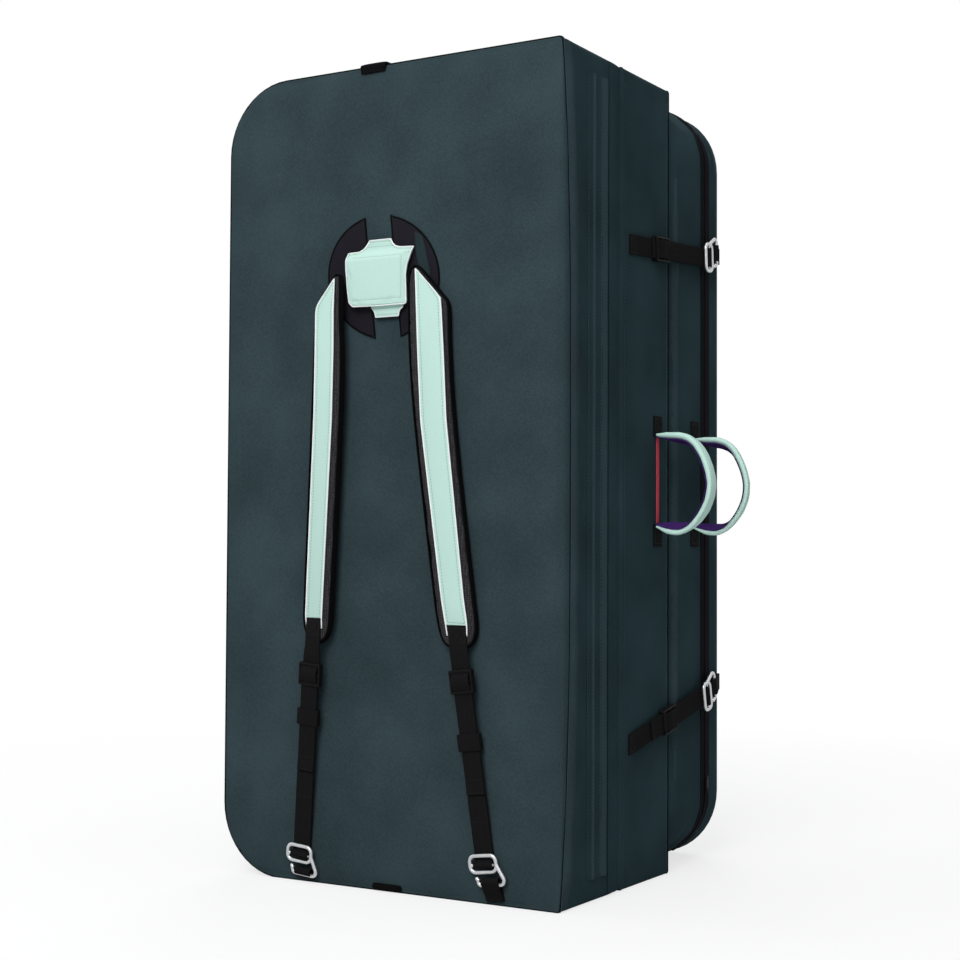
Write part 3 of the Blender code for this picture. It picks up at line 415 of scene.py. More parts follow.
class Nodes:
    """A node tree in the making, with short names for its steps."""

    def __init__(self, tree):
        self.tree = tree

    def node(self, kind, **settings):
        made = self.tree.nodes.new(kind)
        for key, value in settings.items():
            setattr(made, key, value)
        return made

    def put(self, source, socket):
        """Links another node's output to an input, or sets the input to a plain value."""
        if hasattr(source, "is_output"):
            self.tree.links.new(source, socket)
        else:
            socket.default_value = source

    def fed(self, kind, inputs, **settings):
        """A node with some of its inputs given by name or number."""
        made = self.node(kind, **settings)
        for name, source in inputs.items():
            self.put(source, made.inputs[name])
        return made

    def maths(self, operation, *values):
        return self.fed("ShaderNodeMath", dict(enumerate(values)), operation=operation).outputs[0]

    def mixed(self, share, first, second):
        return self.fed("ShaderNodeMixShader", {0: share, 1: first, 2: second}).outputs[0]

    def seen(self):
        """1 for a ray from the camera, also by way of gloss or glass, and 0 for the light that falls on things."""
        rays = self.node("ShaderNodeLightPath").outputs
        mirrored = self.maths("MAXIMUM", rays["Is Glossy Ray"], rays["Is Transmission Ray"])
        return self.maths("MAXIMUM", rays["Is Camera Ray"], mirrored)


class Finish(Nodes):
    """A material in the making."""

    def __init__(self, name, metallic=0.0, gloss=0.5):
        self.material = bpy.data.materials.new(name)
        self.material.use_nodes = True
        super().__init__(self.material.node_tree)
        self.shader = self.tree.nodes["Principled BSDF"]
        self.put(metallic, self.shader.inputs["Metallic"])
        self.put(gloss, self.shader.inputs["Specular IOR Level"])

    def place(self, source="Object", scale=(1, 1, 1)):
        coordinates = self.node("ShaderNodeTexCoord").outputs[source]
        return self.fed("ShaderNodeMapping", {"Vector": coordinates, "Scale": scale}).outputs[0]

    def grain(self, scale, detail=2.0, roughness=0.5, where=None):
        """Noise on the object's own coordinates."""
        where = self.place() if where is None else where
        inputs = {"Vector": where, "Scale": scale, "Detail": detail, "Roughness": roughness}
        return self.fed("ShaderNodeTexNoise", inputs).outputs[0]

    def cells(self, where, scale, randomness=1.0):
        """How far a spot lies from the middle of its cell."""
        inputs = {"Vector": where, "Scale": scale, "Randomness": randomness}
        return self.fed("ShaderNodeTexVoronoi", inputs, feature="F1").outputs["Distance"]

    def spread(self, value, low, high, from_low=0.0, from_high=1.0):
        inputs = dict(enumerate((value, from_low, from_high, low, high)))
        return self.fed("ShaderNodeMapRange", inputs).outputs[0]

    def colours(self, amount, *stops):
        """The shader's colour, from an amount by way of a ramp."""
        made = self.fed("ShaderNodeValToRGB", {0: amount})
        ramp = made.color_ramp
        while len(ramp.elements) < len(stops):
            ramp.elements.new(0.5)
        for element, (at, colour) in zip(ramp.elements, stops):
            element.position = at
            element.color = (*colour, 1)
        self.put(made.outputs[0], self.shader.inputs["Base Color"])

    def rough(self, source):
        self.put(source, self.shader.inputs["Roughness"])

    def relief(self, *heights):
        """Bumps laid over each other: pairs of a height and its depth in metres."""
        normal = None
        for height, depth in heights:
            inputs = {"Strength": 1.0, "Distance": depth, "Height": height}
            if normal is not None:
                inputs["Normal"] = normal
            normal = self.fed("ShaderNodeBump", inputs).outputs[0]
        self.put(normal, self.shader.inputs["Normal"])


def shades(colour, *factors):
    return [tuple(min(1.0, channel * factor) for channel in colour) for factor in factors]


def waves(made, value, spacing):
    return made.maths("SINE", made.maths("MULTIPLY", value, FULL / spacing))


def on_own_map(made):
    """The two directions of a piece's own map, in metres."""
    return made.fed("ShaderNodeSeparateXYZ", {0: made.place("UV")}).outputs[:2]


def woven(name, colour, warp, weft, depth, contrast=0.18, mottle=0.1):
    """A plain woven cloth: threads, a little slubbing and slow mottling."""
    made = Finish(name, gloss=0.01)
    across, along_it = on_own_map(made)
    crossing = made.maths("MULTIPLY", waves(made, across, warp), waves(made, along_it, weft))
    threads = made.maths("MULTIPLY_ADD", crossing, 0.5, 0.5)
    slubs = made.grain(520.0, 3.0, 0.6)
    broad = made.grain(9.0)
    amount = made.maths("MULTIPLY_ADD", threads, 0.35, made.maths("MULTIPLY", slubs, 0.65))
    amount = made.maths("ADD", amount, made.spread(broad, -mottle, mottle, 0.3, 0.7))
    dark, mid, light = shades(colour, 1 - contrast, 1.0, 1 + contrast)
    made.colours(amount, (0.2, dark), (0.5, mid), (0.8, light))
    made.rough(made.spread(slubs, 0.72, 0.9, 0.3, 0.7))
    made.relief((threads, depth), (slubs, depth * 0.8), (broad, 0.0006))
    return made.material


def ribbed(name, colour, spacing, column, depth, contrast=0.35):
    """Webbing: fine cross ribs set in a herringbone across its columns."""
    made = Finish(name, gloss=0.01)
    across, along_it = on_own_map(made)
    lean = made.maths("MULTIPLY_ADD", made.maths("PINGPONG", across, column), 1.1, along_it)
    ribs = made.maths("MULTIPLY_ADD", waves(made, lean, spacing), 0.5, 0.5)
    columns = made.spread(made.maths("PINGPONG", across, column / 2), 0.0, 1.0, 0.0, column / 6)
    fuzz = made.grain(900.0)
    amount = made.maths("MULTIPLY_ADD", ribs, 0.5, made.maths("MULTIPLY", fuzz, 0.5))
    dark, mid, light = shades(colour, 1 - contrast, 1.0, 1 + contrast)
    made.colours(amount, (0.2, dark), (0.5, mid), (0.85, light))
    made.rough(made.spread(fuzz, 0.62, 0.85, 0.3, 0.7))
    made.relief((ribs, depth), (columns, depth), (fuzz, depth * 0.6))
    return made.material


def spun(name, colour, contrast=0.25):
    """Sewing thread with its fine twist."""
    made = Finish(name, gloss=0.2)
    twist = made.fed(
        "ShaderNodeTexWave", {"Vector": made.place(), "Scale": 240.0}, wave_type="BANDS", bands_direction="DIAGONAL"
    ).outputs[1]
    fuzz = made.grain(1500.0)
    amount = made.maths("MULTIPLY_ADD", twist, 0.5, made.maths("MULTIPLY", fuzz, 0.5))
    dark, light = shades(colour, 1 - contrast, 1 + contrast)
    made.colours(amount, (0.2, dark), (0.8, light))
    made.rough(made.spread(fuzz, 0.55, 0.8, 0.3, 0.7))
    made.relief((twist, 0.00005), (fuzz, 0.00003))
    return made.material


def knitted(name, colour, cell, depth):
    """Spacer mesh: small round openings in a knit."""
    made = Finish(name, gloss=0.12)
    holes = made.cells(made.place("UV", (1 / cell, 1 / (cell * 0.8), 1 / cell)), 1.0, 0.25)
    open_share = made.spread(holes, 0.0, 1.0, 0.22, 0.46)
    fuzz = made.grain(1100.0)
    amount = made.maths("MULTIPLY", open_share, made.spread(fuzz, 0.7, 1.1, 0.3, 0.7))
    # The openings are painted darker than the knit: painted shade in the holes.
    dark, light = shades(colour, 0.25, 1.3)
    made.colours(amount, (0.0, dark), (0.9, light))
    made.rough(0.92)
    made.relief((open_share, depth), (fuzz, depth * 0.2))
    return made.material


def moulded(name, colour, rough, gloss):
    """Moulded plastic with a fine spark-eroded grain."""
    made = Finish(name, gloss=gloss)
    grain = made.grain(1400.0)
    wear = made.grain(60.0, 3.0)
    dark, light = shades(colour, 0.85, 1.25)
    made.colours(wear, (0.3, dark), (0.75, light))
    made.rough(made.spread(wear, *rough, 0.3, 0.7))
    made.relief((grain, 0.00006))
    return made.material


def blasted(name, colour):
    """Bead-blasted aluminium, a little rubbed."""
    made = Finish(name, metallic=1.0)
    grain = made.grain(1700.0)
    rubbed = made.grain(90.0, 3.0, where=made.place(scale=(1, 1, 3)))
    dark, light = shades(colour, 0.9, 1.04)
    made.colours(rubbed, (0.3, dark), (0.7, light))
    made.rough(made.spread(rubbed, 0.30, 0.44, 0.3, 0.7))
    made.relief((grain, 0.00004), (rubbed, 0.00008))
    return made.material


def foamed(name, colour, cells, depth):
    """Foam with its cells showing."""
    made = Finish(name, gloss=0.12)
    holes = made.cells(made.place(), cells)
    broad = made.grain(25.0)
    amount = made.maths("MULTIPLY_ADD", holes, 0.7, made.maths("MULTIPLY", broad, 0.4))
    # The middles of the cells are painted darker: painted shade in the pores.
    made.colours(amount, (0.1, shades(colour, 0.7)[0]), (0.7, colour))
    made.rough(made.spread(broad, 0.85, 0.98))
    made.relief((holes, depth))
    return made.material


COVER_CLOTH = woven("cover cloth", (0.036, 0.058, 0.066), 0.0017, 0.0015, 0.00022, 0.34, mottle=0.16)
# A lighter copy of the cover cloth: a painted highlight on the raised parts of the fold strips.
FOLD_HIGHLIGHT_CLOTH = woven("fold cloth", (0.038, 0.064, 0.073), 0.0015, 0.0013, 0.00018, 0.28, mottle=0.12)
# Lighter than the cover cloth: a painted highlight along the piped edges.
PIPING_HIGHLIGHT_CLOTH = woven("piping cloth", (0.050, 0.078, 0.087), 0.0012, 0.0012, 0.00012, 0.2)
# Near-black cloth for the cords laid in the seams: painted shadow lines.
SEAM_SHADOW = woven("seam tape", (0.006, 0.010, 0.011), 0.0012, 0.0012, 0.00012, 0.2)
PATCH_CLOTH = woven("patch cloth", (0.0165, 0.0150, 0.0205), 0.0012, 0.0012, 0.00014, 0.25)
MINT_CLOTH = woven("mint cloth", (0.55, 0.78, 0.70), 0.0009, 0.0009, 0.00006, 0.05, mottle=0.05)
WHITE_TAPE = woven("white edge tape", (0.93, 0.96, 0.95), 0.0008, 0.0008, 0.00006, 0.05, mottle=0.04)
# The mint cloth painted lighter for the handles: painted light where they sit in shade.
HANDLE_LIT_CLOTH = woven("handle cloth", (0.64, 0.92, 0.82), 0.0009, 0.0009, 0.00006, 0.05, mottle=0.05)
CORNER_CLOTH = woven("corner cloth", (0.022, 0.037, 0.042), 0.0015, 0.0013, 0.00018, 0.28, mottle=0.12)
# A darker copy of the cover cloth: painted shade on the walls, the gussets and the low parts of the fold strips.
WALL_SHADE_CLOTH = woven("wall cloth", (0.026, 0.049, 0.057), 0.0017, 0.0015, 0.00022, 0.34, mottle=0.20)
PURPLE_CLOTH = woven("purple lining", (0.060, 0.024, 0.145), 0.0010, 0.0010, 0.0001, 0.25)
CORAL_TAPE = woven("coral tape", (0.62, 0.080, 0.105), 0.0008, 0.0008, 0.00008, 0.14)
BLACK_WEBBING = ribbed("black webbing", (0.0108, 0.0106, 0.0114), 0.0016, 0.0041, 0.00022)
BLACK_BINDING = ribbed("black binding", (0.0060, 0.0060, 0.0066), 0.0010, 0.0024, 0.00014)
ZIP_TAPE_CLOTH = ribbed("zip tape", (0.0080, 0.0082, 0.0112), 0.0009, 0.0020, 0.00010)
STRAP_MESH = knitted("spacer mesh", (0.036, 0.034, 0.037), 0.0030, 0.00050)
BLACK_THREAD = spun("black thread", (0.0060, 0.0060, 0.0065))
COVER_THREAD = spun("cover thread", (0.060, 0.090, 0.100))
DARK_THREAD = spun("seam thread", (0.0070, 0.0100, 0.0110))
MINT_THREAD = spun("mint thread", (0.12, 0.20, 0.18), 0.1)
BLACK_NYLON = moulded("black nylon", (0.0060, 0.0060, 0.0066), (0.5, 0.65), 0.06)
COIL_NYLON = moulded("zip coil", (0.0050, 0.0048, 0.0068), (0.5, 0.6), 0.02)
SLIDER_METAL = moulded("zip slider paint", (0.0080, 0.0080, 0.0085), (0.45, 0.55), 0.08)
HOOK_METAL = blasted("hook aluminium", (0.53, 0.54, 0.555))
CLOSED_FOAM = foamed("closed-cell foam", (0.10, 0.10, 0.105), 700.0, 0.0002)
OPEN_FOAM = foamed("open-cell foam", (0.60, 0.57, 0.48), 420.0, 0.0006)


# Camera and light


WHITE = (1, 1, 1, 1)


def make_camera():
    """The camera at the photograph's place and angle."""
    turn, tilt, roll = -0.5445, 0.0367, 0.0050
    ahead = Vector((math.sin(turn) * math.cos(tilt), math.cos(turn) * math.cos(tilt), math.sin(tilt)))
    right = ahead.cross(Vector((0, 0, 1))).normalized()
    up = right.cross(ahead)
    rolled_right = right * math.cos(roll) + up * math.sin(roll)
    rolled_up = up * math.cos(roll) - right * math.sin(roll)
    lens = bpy.data.cameras.new("camera")
    lens.lens = 66.05
    lens.sensor_width = 36
    camera = bpy.data.objects.new("camera", lens)
    bpy.context.scene.collection.objects.link(camera)
    basis = Matrix((rolled_right, rolled_up, -ahead)).transposed()
    camera.matrix_world = frame_at(Vector((1.2004, -1.9803, 0.4152)), basis)
    bpy.context.scene.camera = camera


def lamp(name, place, target, size, power):
    light = bpy.data.lights.new(name, "AREA")
    light.shape = "RECTANGLE"
    light.size, light.size_y = size
    light.energy = power
    made = bpy.data.objects.new(name, light)
    bpy.context.scene.collection.objects.link(made)
    made.location = place
    made.rotation_euler = (Vector(target) - Vector(place)).to_track_quat("-Z", "Y").to_euler()


def make_studio():
    """A white sweep: a pale floor that keeps the shadow, a white room behind it, and soft lamps."""
    world = bpy.data.worlds.new("studio")
    bpy.context.scene.world = world
    world.use_nodes = True
    sky = Nodes(world.node_tree)
    shade = sky.tree.nodes["Background"]
    sky.put((0.93, 0.96, 1.0, 1), shade.inputs["Color"])
    sky.put(0.26, shade.inputs["Strength"])
    white = sky.fed("ShaderNodeBackground", {"Color": WHITE, "Strength": 1.0})
    whole = sky.mixed(sky.seen(), shade.outputs[0], white.outputs[0])
    sky.put(whole, sky.tree.nodes["World Output"].inputs["Surface"])

    floor = settle(fresh(bpy.ops.mesh.primitive_plane_add, "floor", size=24, location=(0, 0, -0.0004)))
    floor.data.materials.append(floor_paint())
    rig.stage(floor)

    lamp("front softbox", (0.75, -3.1, 2.6), (0, 0, 0.55), (2.0, 1.8), 92)
    lamp("right softbox", (3.2, -0.6, 1.9), (0.1, 0, 0.5), (1.6, 2.2), 1)
    lamp("back softbox", (-1.6, 3.0, 2.4), (0, 0, 0.5), (2.0, 2.0), 36)
    lamp("left softbox", (-3.2, -0.4, 1.8), (0, 0, 0.5), (1.6, 2.0), 22)
    lamp("ceiling", (0, 0, 3.4), (0, 0, 0), (3.0, 3.0), 36)


def floor_paint():
    """Pale paint that looks white beyond the object's shadow."""
    pale = Finish("floor paint", gloss=0.1)
    pale.colours(pale.grain(6.0, 3.0), (0.3, (0.60, 0.60, 0.60)), (0.7, (0.63, 0.63, 0.63)))
    pale.rough(0.9)
    kept = pale.fed("ShaderNodeBsdfDiffuse", {"Color": (0.97, 0.97, 0.97, 1)})
    white = pale.fed("ShaderNodeEmission", {"Color": WHITE, "Strength": 1.0})
    far = pale.fed("ShaderNodeVectorMath", {0: pale.place()}, operation="LENGTH")
    share = pale.spread(far.outputs["Value"], 0.72, 1.0, 0.55, 1.9)
    shown = pale.mixed(share, kept.outputs[0], white.outputs[0])
    whole = pale.mixed(pale.seen(), pale.shader.outputs[0], shown)
    pale.put(whole, pale.tree.nodes["Material Output"].inputs["Surface"])
    return pale.material


# Panels


def spaced(low, high, step=GRID_STEP):
    """Grid places from one side to the other, closer together beside the seams."""
    inner = high - low - 2 * SEAM_GRID[-1]
    count = max(2, round(inner / step))
    middle = [SEAM_GRID[-1] + inner * i / count for i in range(1, count)]
    return [low + a for a in (*SEAM_GRID, *middle)] + [high - a for a in reversed(SEAM_GRID)]


def wall_inset(panel, y):
    for plane, (depth, draw) in zip((panel["front"], panel["back"]), panel["edges"]):
        share = 1 - abs(y - plane) / depth
        if share > 0:
            return draw * (1 - math.sqrt(max(0.0, 1 - share**2)))
    return 0.0


def cornered(panel, x, z, inset):
    """A point of a square front view moved onto the panel's rounded, drawn-in one."""
    middle = panel["top"] / 2
    x *= 1 - inset / HALF_WIDTH
    rise = (z - middle) * (1 - inset / middle)
    free = panel["free"] and math.copysign(1, x) == panel["free"]
    radius = (FREE_CORNER if free else SEWN_CORNER) * (1 - inset / HALF_WIDTH)
    over = abs(x) - (HALF_WIDTH - inset - radius)
    above = abs(rise) - (middle - inset - radius)
    if over > 0 and above > 0:
        pull = max(over, above) / math.hypot(over, above)
        x -= math.copysign(over * (1 - pull), x)
        rise -= math.copysign(above * (1 - pull), rise)
    return x, rise + middle


def gridded_box(name, columns):
    """A cube cut into a grid of rows and columns, its corners numbered along each axis."""
    made = fresh(bpy.ops.mesh.primitive_cube_add, name, size=2, location=(0, 0, 0))
    for axis in range(3):
        choose(made, "EDGE", lambda edge: along(made.data, edge) == axis)
        bpy.ops.mesh.subdivide(number_cuts=columns[axis] - 2)
        leave()
    return made


def along(mesh, edge):
    a, b = (mesh.vertices[i].co for i in edge.vertices)
    return max(range(3), key=lambda axis: abs(a[axis] - b[axis]))


def panel_form(name, panel, low_y, high_y, offset=0.0, step=GRID_STEP, crowned=(True, True)):
    """A block that follows a panel's walls at an offset, with its outer face crowned."""
    middle = panel["top"] / 2
    xs = spaced(-HALF_WIDTH, HALF_WIDTH, step)
    ys = spaced(low_y, high_y, WALL_STEP if step == GRID_STEP else step)
    zs = spaced(0, panel["top"], step)
    made = gridded_box(name, (len(xs), len(ys), len(zs)))
    for vertex in made.data.vertices:
        i, j, k = (round((part + 1) / 2 * (len(places) - 1)) for part, places in zip(vertex.co, (xs, ys, zs)))
        x, y, z = xs[i], ys[j], zs[k]
        to_edge = min(HALF_WIDTH - abs(x), middle - abs(z - middle))
        share = min(1.0, to_edge / CROWN_REACH)
        swell = 1 - (1 - share) ** 2
        inset = wall_inset(panel, y) + offset
        x, z = cornered(panel, x, z, inset)
        if j == 0 and crowned[0]:
            y -= panel["crown"][0] * swell
        if j == len(ys) - 1 and crowned[1]:
            y += panel["crown"][1] * swell
        vertex.co = (x, y, z)
    return made


def sewn_cloth(piece, held, slack, pressure, cap, frames=20, stiffness=12.0):
    """Lets the cloth of a stuffed piece settle between its seams, and keeps the result in its mesh."""
    rest = np.array([v.co for v in piece.data.vertices])
    seams = piece.vertex_groups.new(name="seams")
    for vertex in piece.data.vertices:
        weight = held(vertex.co)
        if weight > 0.01:
            seams.add([vertex.index], weight, "REPLACE")
    alone(piece)
    cloth = piece.modifiers.new("cloth", "CLOTH")
    settings = cloth.settings
    settings.quality = 4
    settings.mass = 0.3
    settings.tension_stiffness = settings.compression_stiffness = stiffness
    settings.shear_stiffness = 4
    settings.bending_stiffness = 0.4
    settings.use_pressure = True
    settings.uniform_pressure_force = pressure
    settings.shrink_min = -slack
    settings.effector_weights.gravity = 0
    settings.vertex_group_mass = "seams"
    cloth.collision_settings.use_collision = False
    cloth.point_cache.frame_start, cloth.point_cache.frame_end = 1, frames
    for step in range(1, frames + 1):
        bpy.context.scene.frame_set(step)
    settled = piece.evaluated_get(bpy.context.evaluated_depsgraph_get())
    moved = np.array([v.co for v in settled.data.vertices]) - rest
    far = np.linalg.norm(moved, axis=1, keepdims=True)
    moved *= np.minimum(1.0, cap / np.maximum(far, 1e-9))
    piece.modifiers.remove(cloth)
    piece.vertex_groups.clear()
    bpy.context.scene.frame_set(1)
    for vertex, place in zip(piece.data.vertices, rest + moved):
        vertex.co = place


def bowed(z):
    """How much of the carry panel's soft right front edge shows at a height."""
    return 1 - abs(2 * min(max(z, 0.0), HEIGHT) / HEIGHT - 1) ** 3


def roll_shape(past):
    """The rise and fall of the roll of cloth, 1 at its peak."""
    return past / ROLL_PEAK * math.exp(1 - past / ROLL_PEAK)


def swollen(co):
    """A point of the carry cover moved with its soft right front edge, and the roll of cloth behind its seam."""
    x, y, z = co
    share = bowed(z)
    roll = EDGE_ROLL * share
    back = y + OUTER
    on_front = back < 0.0006
    turn = x - HALF_WIDTH if on_front else back
    if -roll < turn < roll and (on_front or x > HALF_WIDTH - 0.004):
        angle = (turn + roll) / (2 * roll) * math.pi / 2
        lift = min(0.0, back) if on_front else 0.0
        x = HALF_WIDTH - roll * (1 - math.sin(angle))
        y = -OUTER + roll * (1 - math.cos(angle)) + lift
    if on_front:
        return Vector((x + EDGE_SWELL * share * eased(x, 0.17, HALF_WIDTH), y, z))
    x += EDGE_SWELL * share * (1 - eased(back, roll, EDGE_END))
    past = back - roll - PIPING_SET
    if past > 0:
        height = ROLL_HEIGHT * (1 + 0.35 * noise.noise(Vector((0, 3, z * 9)))) * min(1.0, min(z, HEIGHT - z) / 0.04)
        x += height * roll_shape(past) * (1 - eased(back, 0.045, EDGE_END))
    return Vector((x, y, z))


def on_highlit_fold(name, spot):
    """Whether a spot on the right wall lies on one of its raised folds, which keep the front's lighter cloth as a
    painted highlight.
    """
    if spot.x < HALF_WIDTH - 0.020:
        return False
    if name == "carry":
        past = spot.y + OUTER - EDGE_ROLL * bowed(spot.z)
        return past < 0.017 + 0.007 * noise.noise(Vector((0, 5, spot.z * 16)))
    half = 0.0062 * eased(min(spot.z, REAR_TOP - spot.z), 0.080, 0.220)
    return name == "rear" and abs(spot.y - INNER - 0.0152) < half


def seam_hold(panel):
    """How firmly a point of a cover is held: at its seams, and on its top and bottom walls."""
    def held(co):
        to_wall = min(HALF_WIDTH - abs(co.x), co.z, panel["top"] - co.z, 1)
        to_face = min(abs(co.y - plane) for plane in (panel["front"], panel["back"]))
        level = min(co.z, panel["top"] - co.z) < 0.0005
        return 1.0 if level else max(0.0, 1 - math.hypot(min(to_face, 1), to_wall) / 0.010)
    return held


def cover(name):
    """A panel's fabric cover: held at its seams, slack between them, and flat where it meets a neighbour."""
    panel = PANELS[name]
    front, back, top, free = (panel[key] for key in ("front", "back", "top", "free"))
    made = panel_form(f"{name}_panel_cover", panel, front, back)
    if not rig.quick():
        sewn_cloth(made, seam_hold(panel), 0.006, 3.0, 0.004)
    for vertex in made.data.vertices:
        co = vertex.co
        spot = Vector((co.x * 3.1 + 7 * free, co.y * 3.1, co.z * 2.3))
        slack = 0.0007 * noise.noise(spot * 3) + 0.0004 * noise.noise(spot * 11)
        streak = 0.0011 * noise.noise(Vector((co.y * 65, co.z * 4, 5 * free)))
        to_edge = min(co.z, top - co.z)
        if abs(co.x) > HALF_WIDTH - 0.006:
            co.x -= math.copysign((max(0.0, slack) + max(0.0, streak)) * min(1.0, to_edge / 0.02), co.x)
        co.x = max(-HALF_WIDTH, min(HALF_WIDTH, co.x))
        co.y = max(front - panel["crown"][0], min(back + panel["crown"][1], co.y))
        co.z = max(0.0, min(top, co.z))
        if name == "carry" and co.x > 0:
            vertex.co = swollen(co)
        elif name == "rear" and co.x > HALF_WIDTH - 0.006:
            along_edge = min(1.0, max(0.0, min(co.z, top - co.z) - 0.085) / 0.05)
            co.x += RIDGE * along_edge * math.exp(-((co.y - front - RIDGE_SET) / RIDGE_HALF) ** 2)
    softened(made)
    flat_unwrapped(made)
    shaded(made, 60)
    finished(made, f"{name}_panel", f"{name}_cover", slot="cover_fabric", finish=COVER_CLOTH)
    # The walls, top and bottom take a darker copy of the cloth as painted shade; their raised folds keep the front's
    # cloth as a painted highlight.
    made.data.materials.append(WALL_SHADE_CLOTH)
    for face in made.data.polygons:
        face.material_index = int(abs(face.normal.y) < 0.7 and not on_highlit_fold(name, face.center))
    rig.padded(made, fill=0.95)
    return made


def foam(name):
    """The closed-cell landing sheet and the open-cell core inside a cover."""
    panel = PANELS[name]
    offset = COVER_WALL + 0.0012
    front, back = panel["front"] + offset, panel["back"] - offset
    core, landing = ("core", "open_cell_foam", OPEN_FOAM), ("landing", "closed_cell_foam", CLOSED_FOAM)
    if name == "centre":
        kinds, split = (landing, core), front + LANDING_FOAM
    else:
        kinds, split = (core, landing), back - LANDING_FOAM
    spans = (front, split - 0.0006, (True, False)), (split + 0.0006, back, (False, True))
    for (kind, slot, finish), (low, high, crowned) in zip(kinds, spans):
        made = panel_form(f"{name}_{kind}_block", panel, low, high, offset, 0.04, crowned)
        shaded(softened(made), 50)
        finished(made, f"{name}_panel", f"{name}_{kind}_foam", slot=slot, finish=finish)
        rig.padded(made, fill=1.0)


# Bands, tubes and stitches


class Band:
    """A flat band's route: its middle line, its side and its facing at each point."""

    def __init__(self, points, sides, place=None, step=0.0025, rounds=2):
        points = [Vector(p) for p in points]
        sides = [Vector(s) for s in (sides if isinstance(sides, list) else [sides] * len(points))]
        if place is not None:
            turned = place.to_3x3()
            points = [place @ p for p in points]
            sides = [(turned @ s).normalized() for s in sides]
        fine, fine_sides = [points[0]], [sides[0]]
        for (a, b), (s, t) in zip(zip(points, points[1:]), zip(sides, sides[1:])):
            count = max(1, math.ceil((b - a).length / step))
            for i in range(1, count + 1):
                fine.append(a.lerp(b, i / count))
                fine_sides.append(s.lerp(t, i / count).normalized())
        for _ in range(rounds):
            inner = [fine[i - 1].lerp(fine[i + 1], 0.5).lerp(fine[i], 0.5) for i in range(1, len(fine) - 1)]
            fine = [fine[0], *inner, fine[-1]]
        self.points, self.sides = fine, fine_sides
        self.lengths = [0.0]
        for a, b in zip(fine, fine[1:]):
            self.lengths.append(self.lengths[-1] + (b - a).length)
        self.length = self.lengths[-1]

    def at(self, along_it, across=0.0, lift=0.0):
        """A point on the band and its facing there."""
        along_it = max(0.0, min(self.length, along_it))
        k = next((i for i, s in enumerate(self.lengths[1:]) if s >= along_it), len(self.points) - 2)
        span = self.lengths[k + 1] - self.lengths[k]
        share = (along_it - self.lengths[k]) / span if span else 0
        ahead = (self.points[k + 1] - self.points[k]).normalized()
        side = self.sides[k].lerp(self.sides[k + 1], share)
        facing = ahead.cross(side).normalized()
        return self.points[k].lerp(self.points[k + 1], share) + side * across + facing * lift, facing

    def turned(self, at, outward):
        """Whether the band's facing at a distance points outward, as 1 or -1."""
        return 1 if self.at(at)[1].dot(Vector(outward)) > 0 else -1

    def crossing(self, at, half, count, lift=0.0):
        """Points across the band at one distance, each with its facing."""
        return [self.at(at, across, lift) for across in np.linspace(-half, half, count)]


def facing_out(rows, sign):
    """Seam rows whose facings are turned over where the band lies the other way round."""
    return [[(point, facing * sign) for point, facing in row] for row in rows]


def toward(rows, outward):
    """Seam rows that all face one way."""
    return [[(point, outward) for point, facing in row] for row in rows]


def gridded_cloth(name, columns, rows, chart, spot):
    """A grid of cloth, charted and placed by the column and row of each corner."""
    made = fresh(
        bpy.ops.mesh.primitive_grid_add, name, x_subdivisions=columns, y_subdivisions=rows, size=2, location=(0, 0, 0)
    )
    mesh = made.data
    placed = [(round((v.co.x + 1) / 2 * columns), round((v.co.y + 1) / 2 * rows)) for v in mesh.vertices]
    charted = mesh.uv_layers.active.data
    for loop in mesh.loops:
        charted[loop.index].uv = chart(*placed[loop.vertex_index])
    for vertex, (i, k) in zip(mesh.vertices, placed):
        vertex.co = spot(i, k)
    return made


def laid_band(name, band, width, thickness=TAPE, rounding=0.0004, columns=6, even=True):
    """A flat grid laid along its route, given its thickness and rounded edges, mapped in metres."""
    def across(i):
        return (2 * i / columns - 1) * width / 2

    made = gridded_cloth(
        name, columns, len(band.points) - 1, lambda i, k: (across(i), band.lengths[k]),
        lambda i, k: band.points[k] + band.sides[k] * across(i),
    )
    shape(made, "SOLIDIFY", thickness=thickness, offset=0, use_even_offset=even)
    if rounding:
        bevelled(made, rounding)
    return shaded(made, 50)


def rolled(name, band, widths, depths, squared=2.6, columns=20):
    """Cloth rolled round a band's route: width and depth given along it, rounded off at both ends."""
    rows = len(band.points)
    made = fresh(
        bpy.ops.mesh.primitive_cylinder_add, name, vertices=columns, radius=1, depth=2, end_fill_type="NGON",
        location=(0, 0, 0),
    )
    choose(made, "EDGE", lambda edge: along(made.data, edge) == 2)
    bpy.ops.mesh.subdivide(number_cuts=rows - 2)
    leave()
    mesh = made.data
    placed = [
        (math.atan2(v.co.y, v.co.x), min(rows - 1, round((v.co.z + 1) / 2 * (rows - 1)))) for v in mesh.vertices
    ]
    shares = [length / band.length for length in band.lengths]
    width = np.interp(shares, np.linspace(0, 1, len(widths)), widths)
    depth = np.interp(shares, np.linspace(0, 1, len(depths)), depths)
    charted = mesh.uv_layers.active.data
    for face in mesh.polygons:
        turns = [placed[mesh.loops[i].vertex_index][0] for i in face.loop_indices]
        wraps = max(turns) - min(turns) > math.pi
        for i, turn in zip(face.loop_indices, turns):
            k = placed[mesh.loops[i].vertex_index][1]
            turn = turn + FULL if wraps and turn < 0 else turn
            charted[i].uv = (turn / FULL * 2 * (width[k] + depth[k]), band.lengths[k])
    for vertex, (turn, k) in zip(mesh.vertices, placed):
        across, lift = math.cos(turn), math.sin(turn)
        across = math.copysign(abs(across) ** (2 / squared), across) * width[k] / 2
        lift = math.copysign(abs(lift) ** (2 / squared), lift) * depth[k] / 2
        vertex.co = band.points[k] + band.sides[k] * across + band.at(band.lengths[k])[1] * lift
    choose(made, "FACE", lambda face: True)
    bpy.ops.mesh.normals_make_consistent(inside=False)
    leave()
    return made


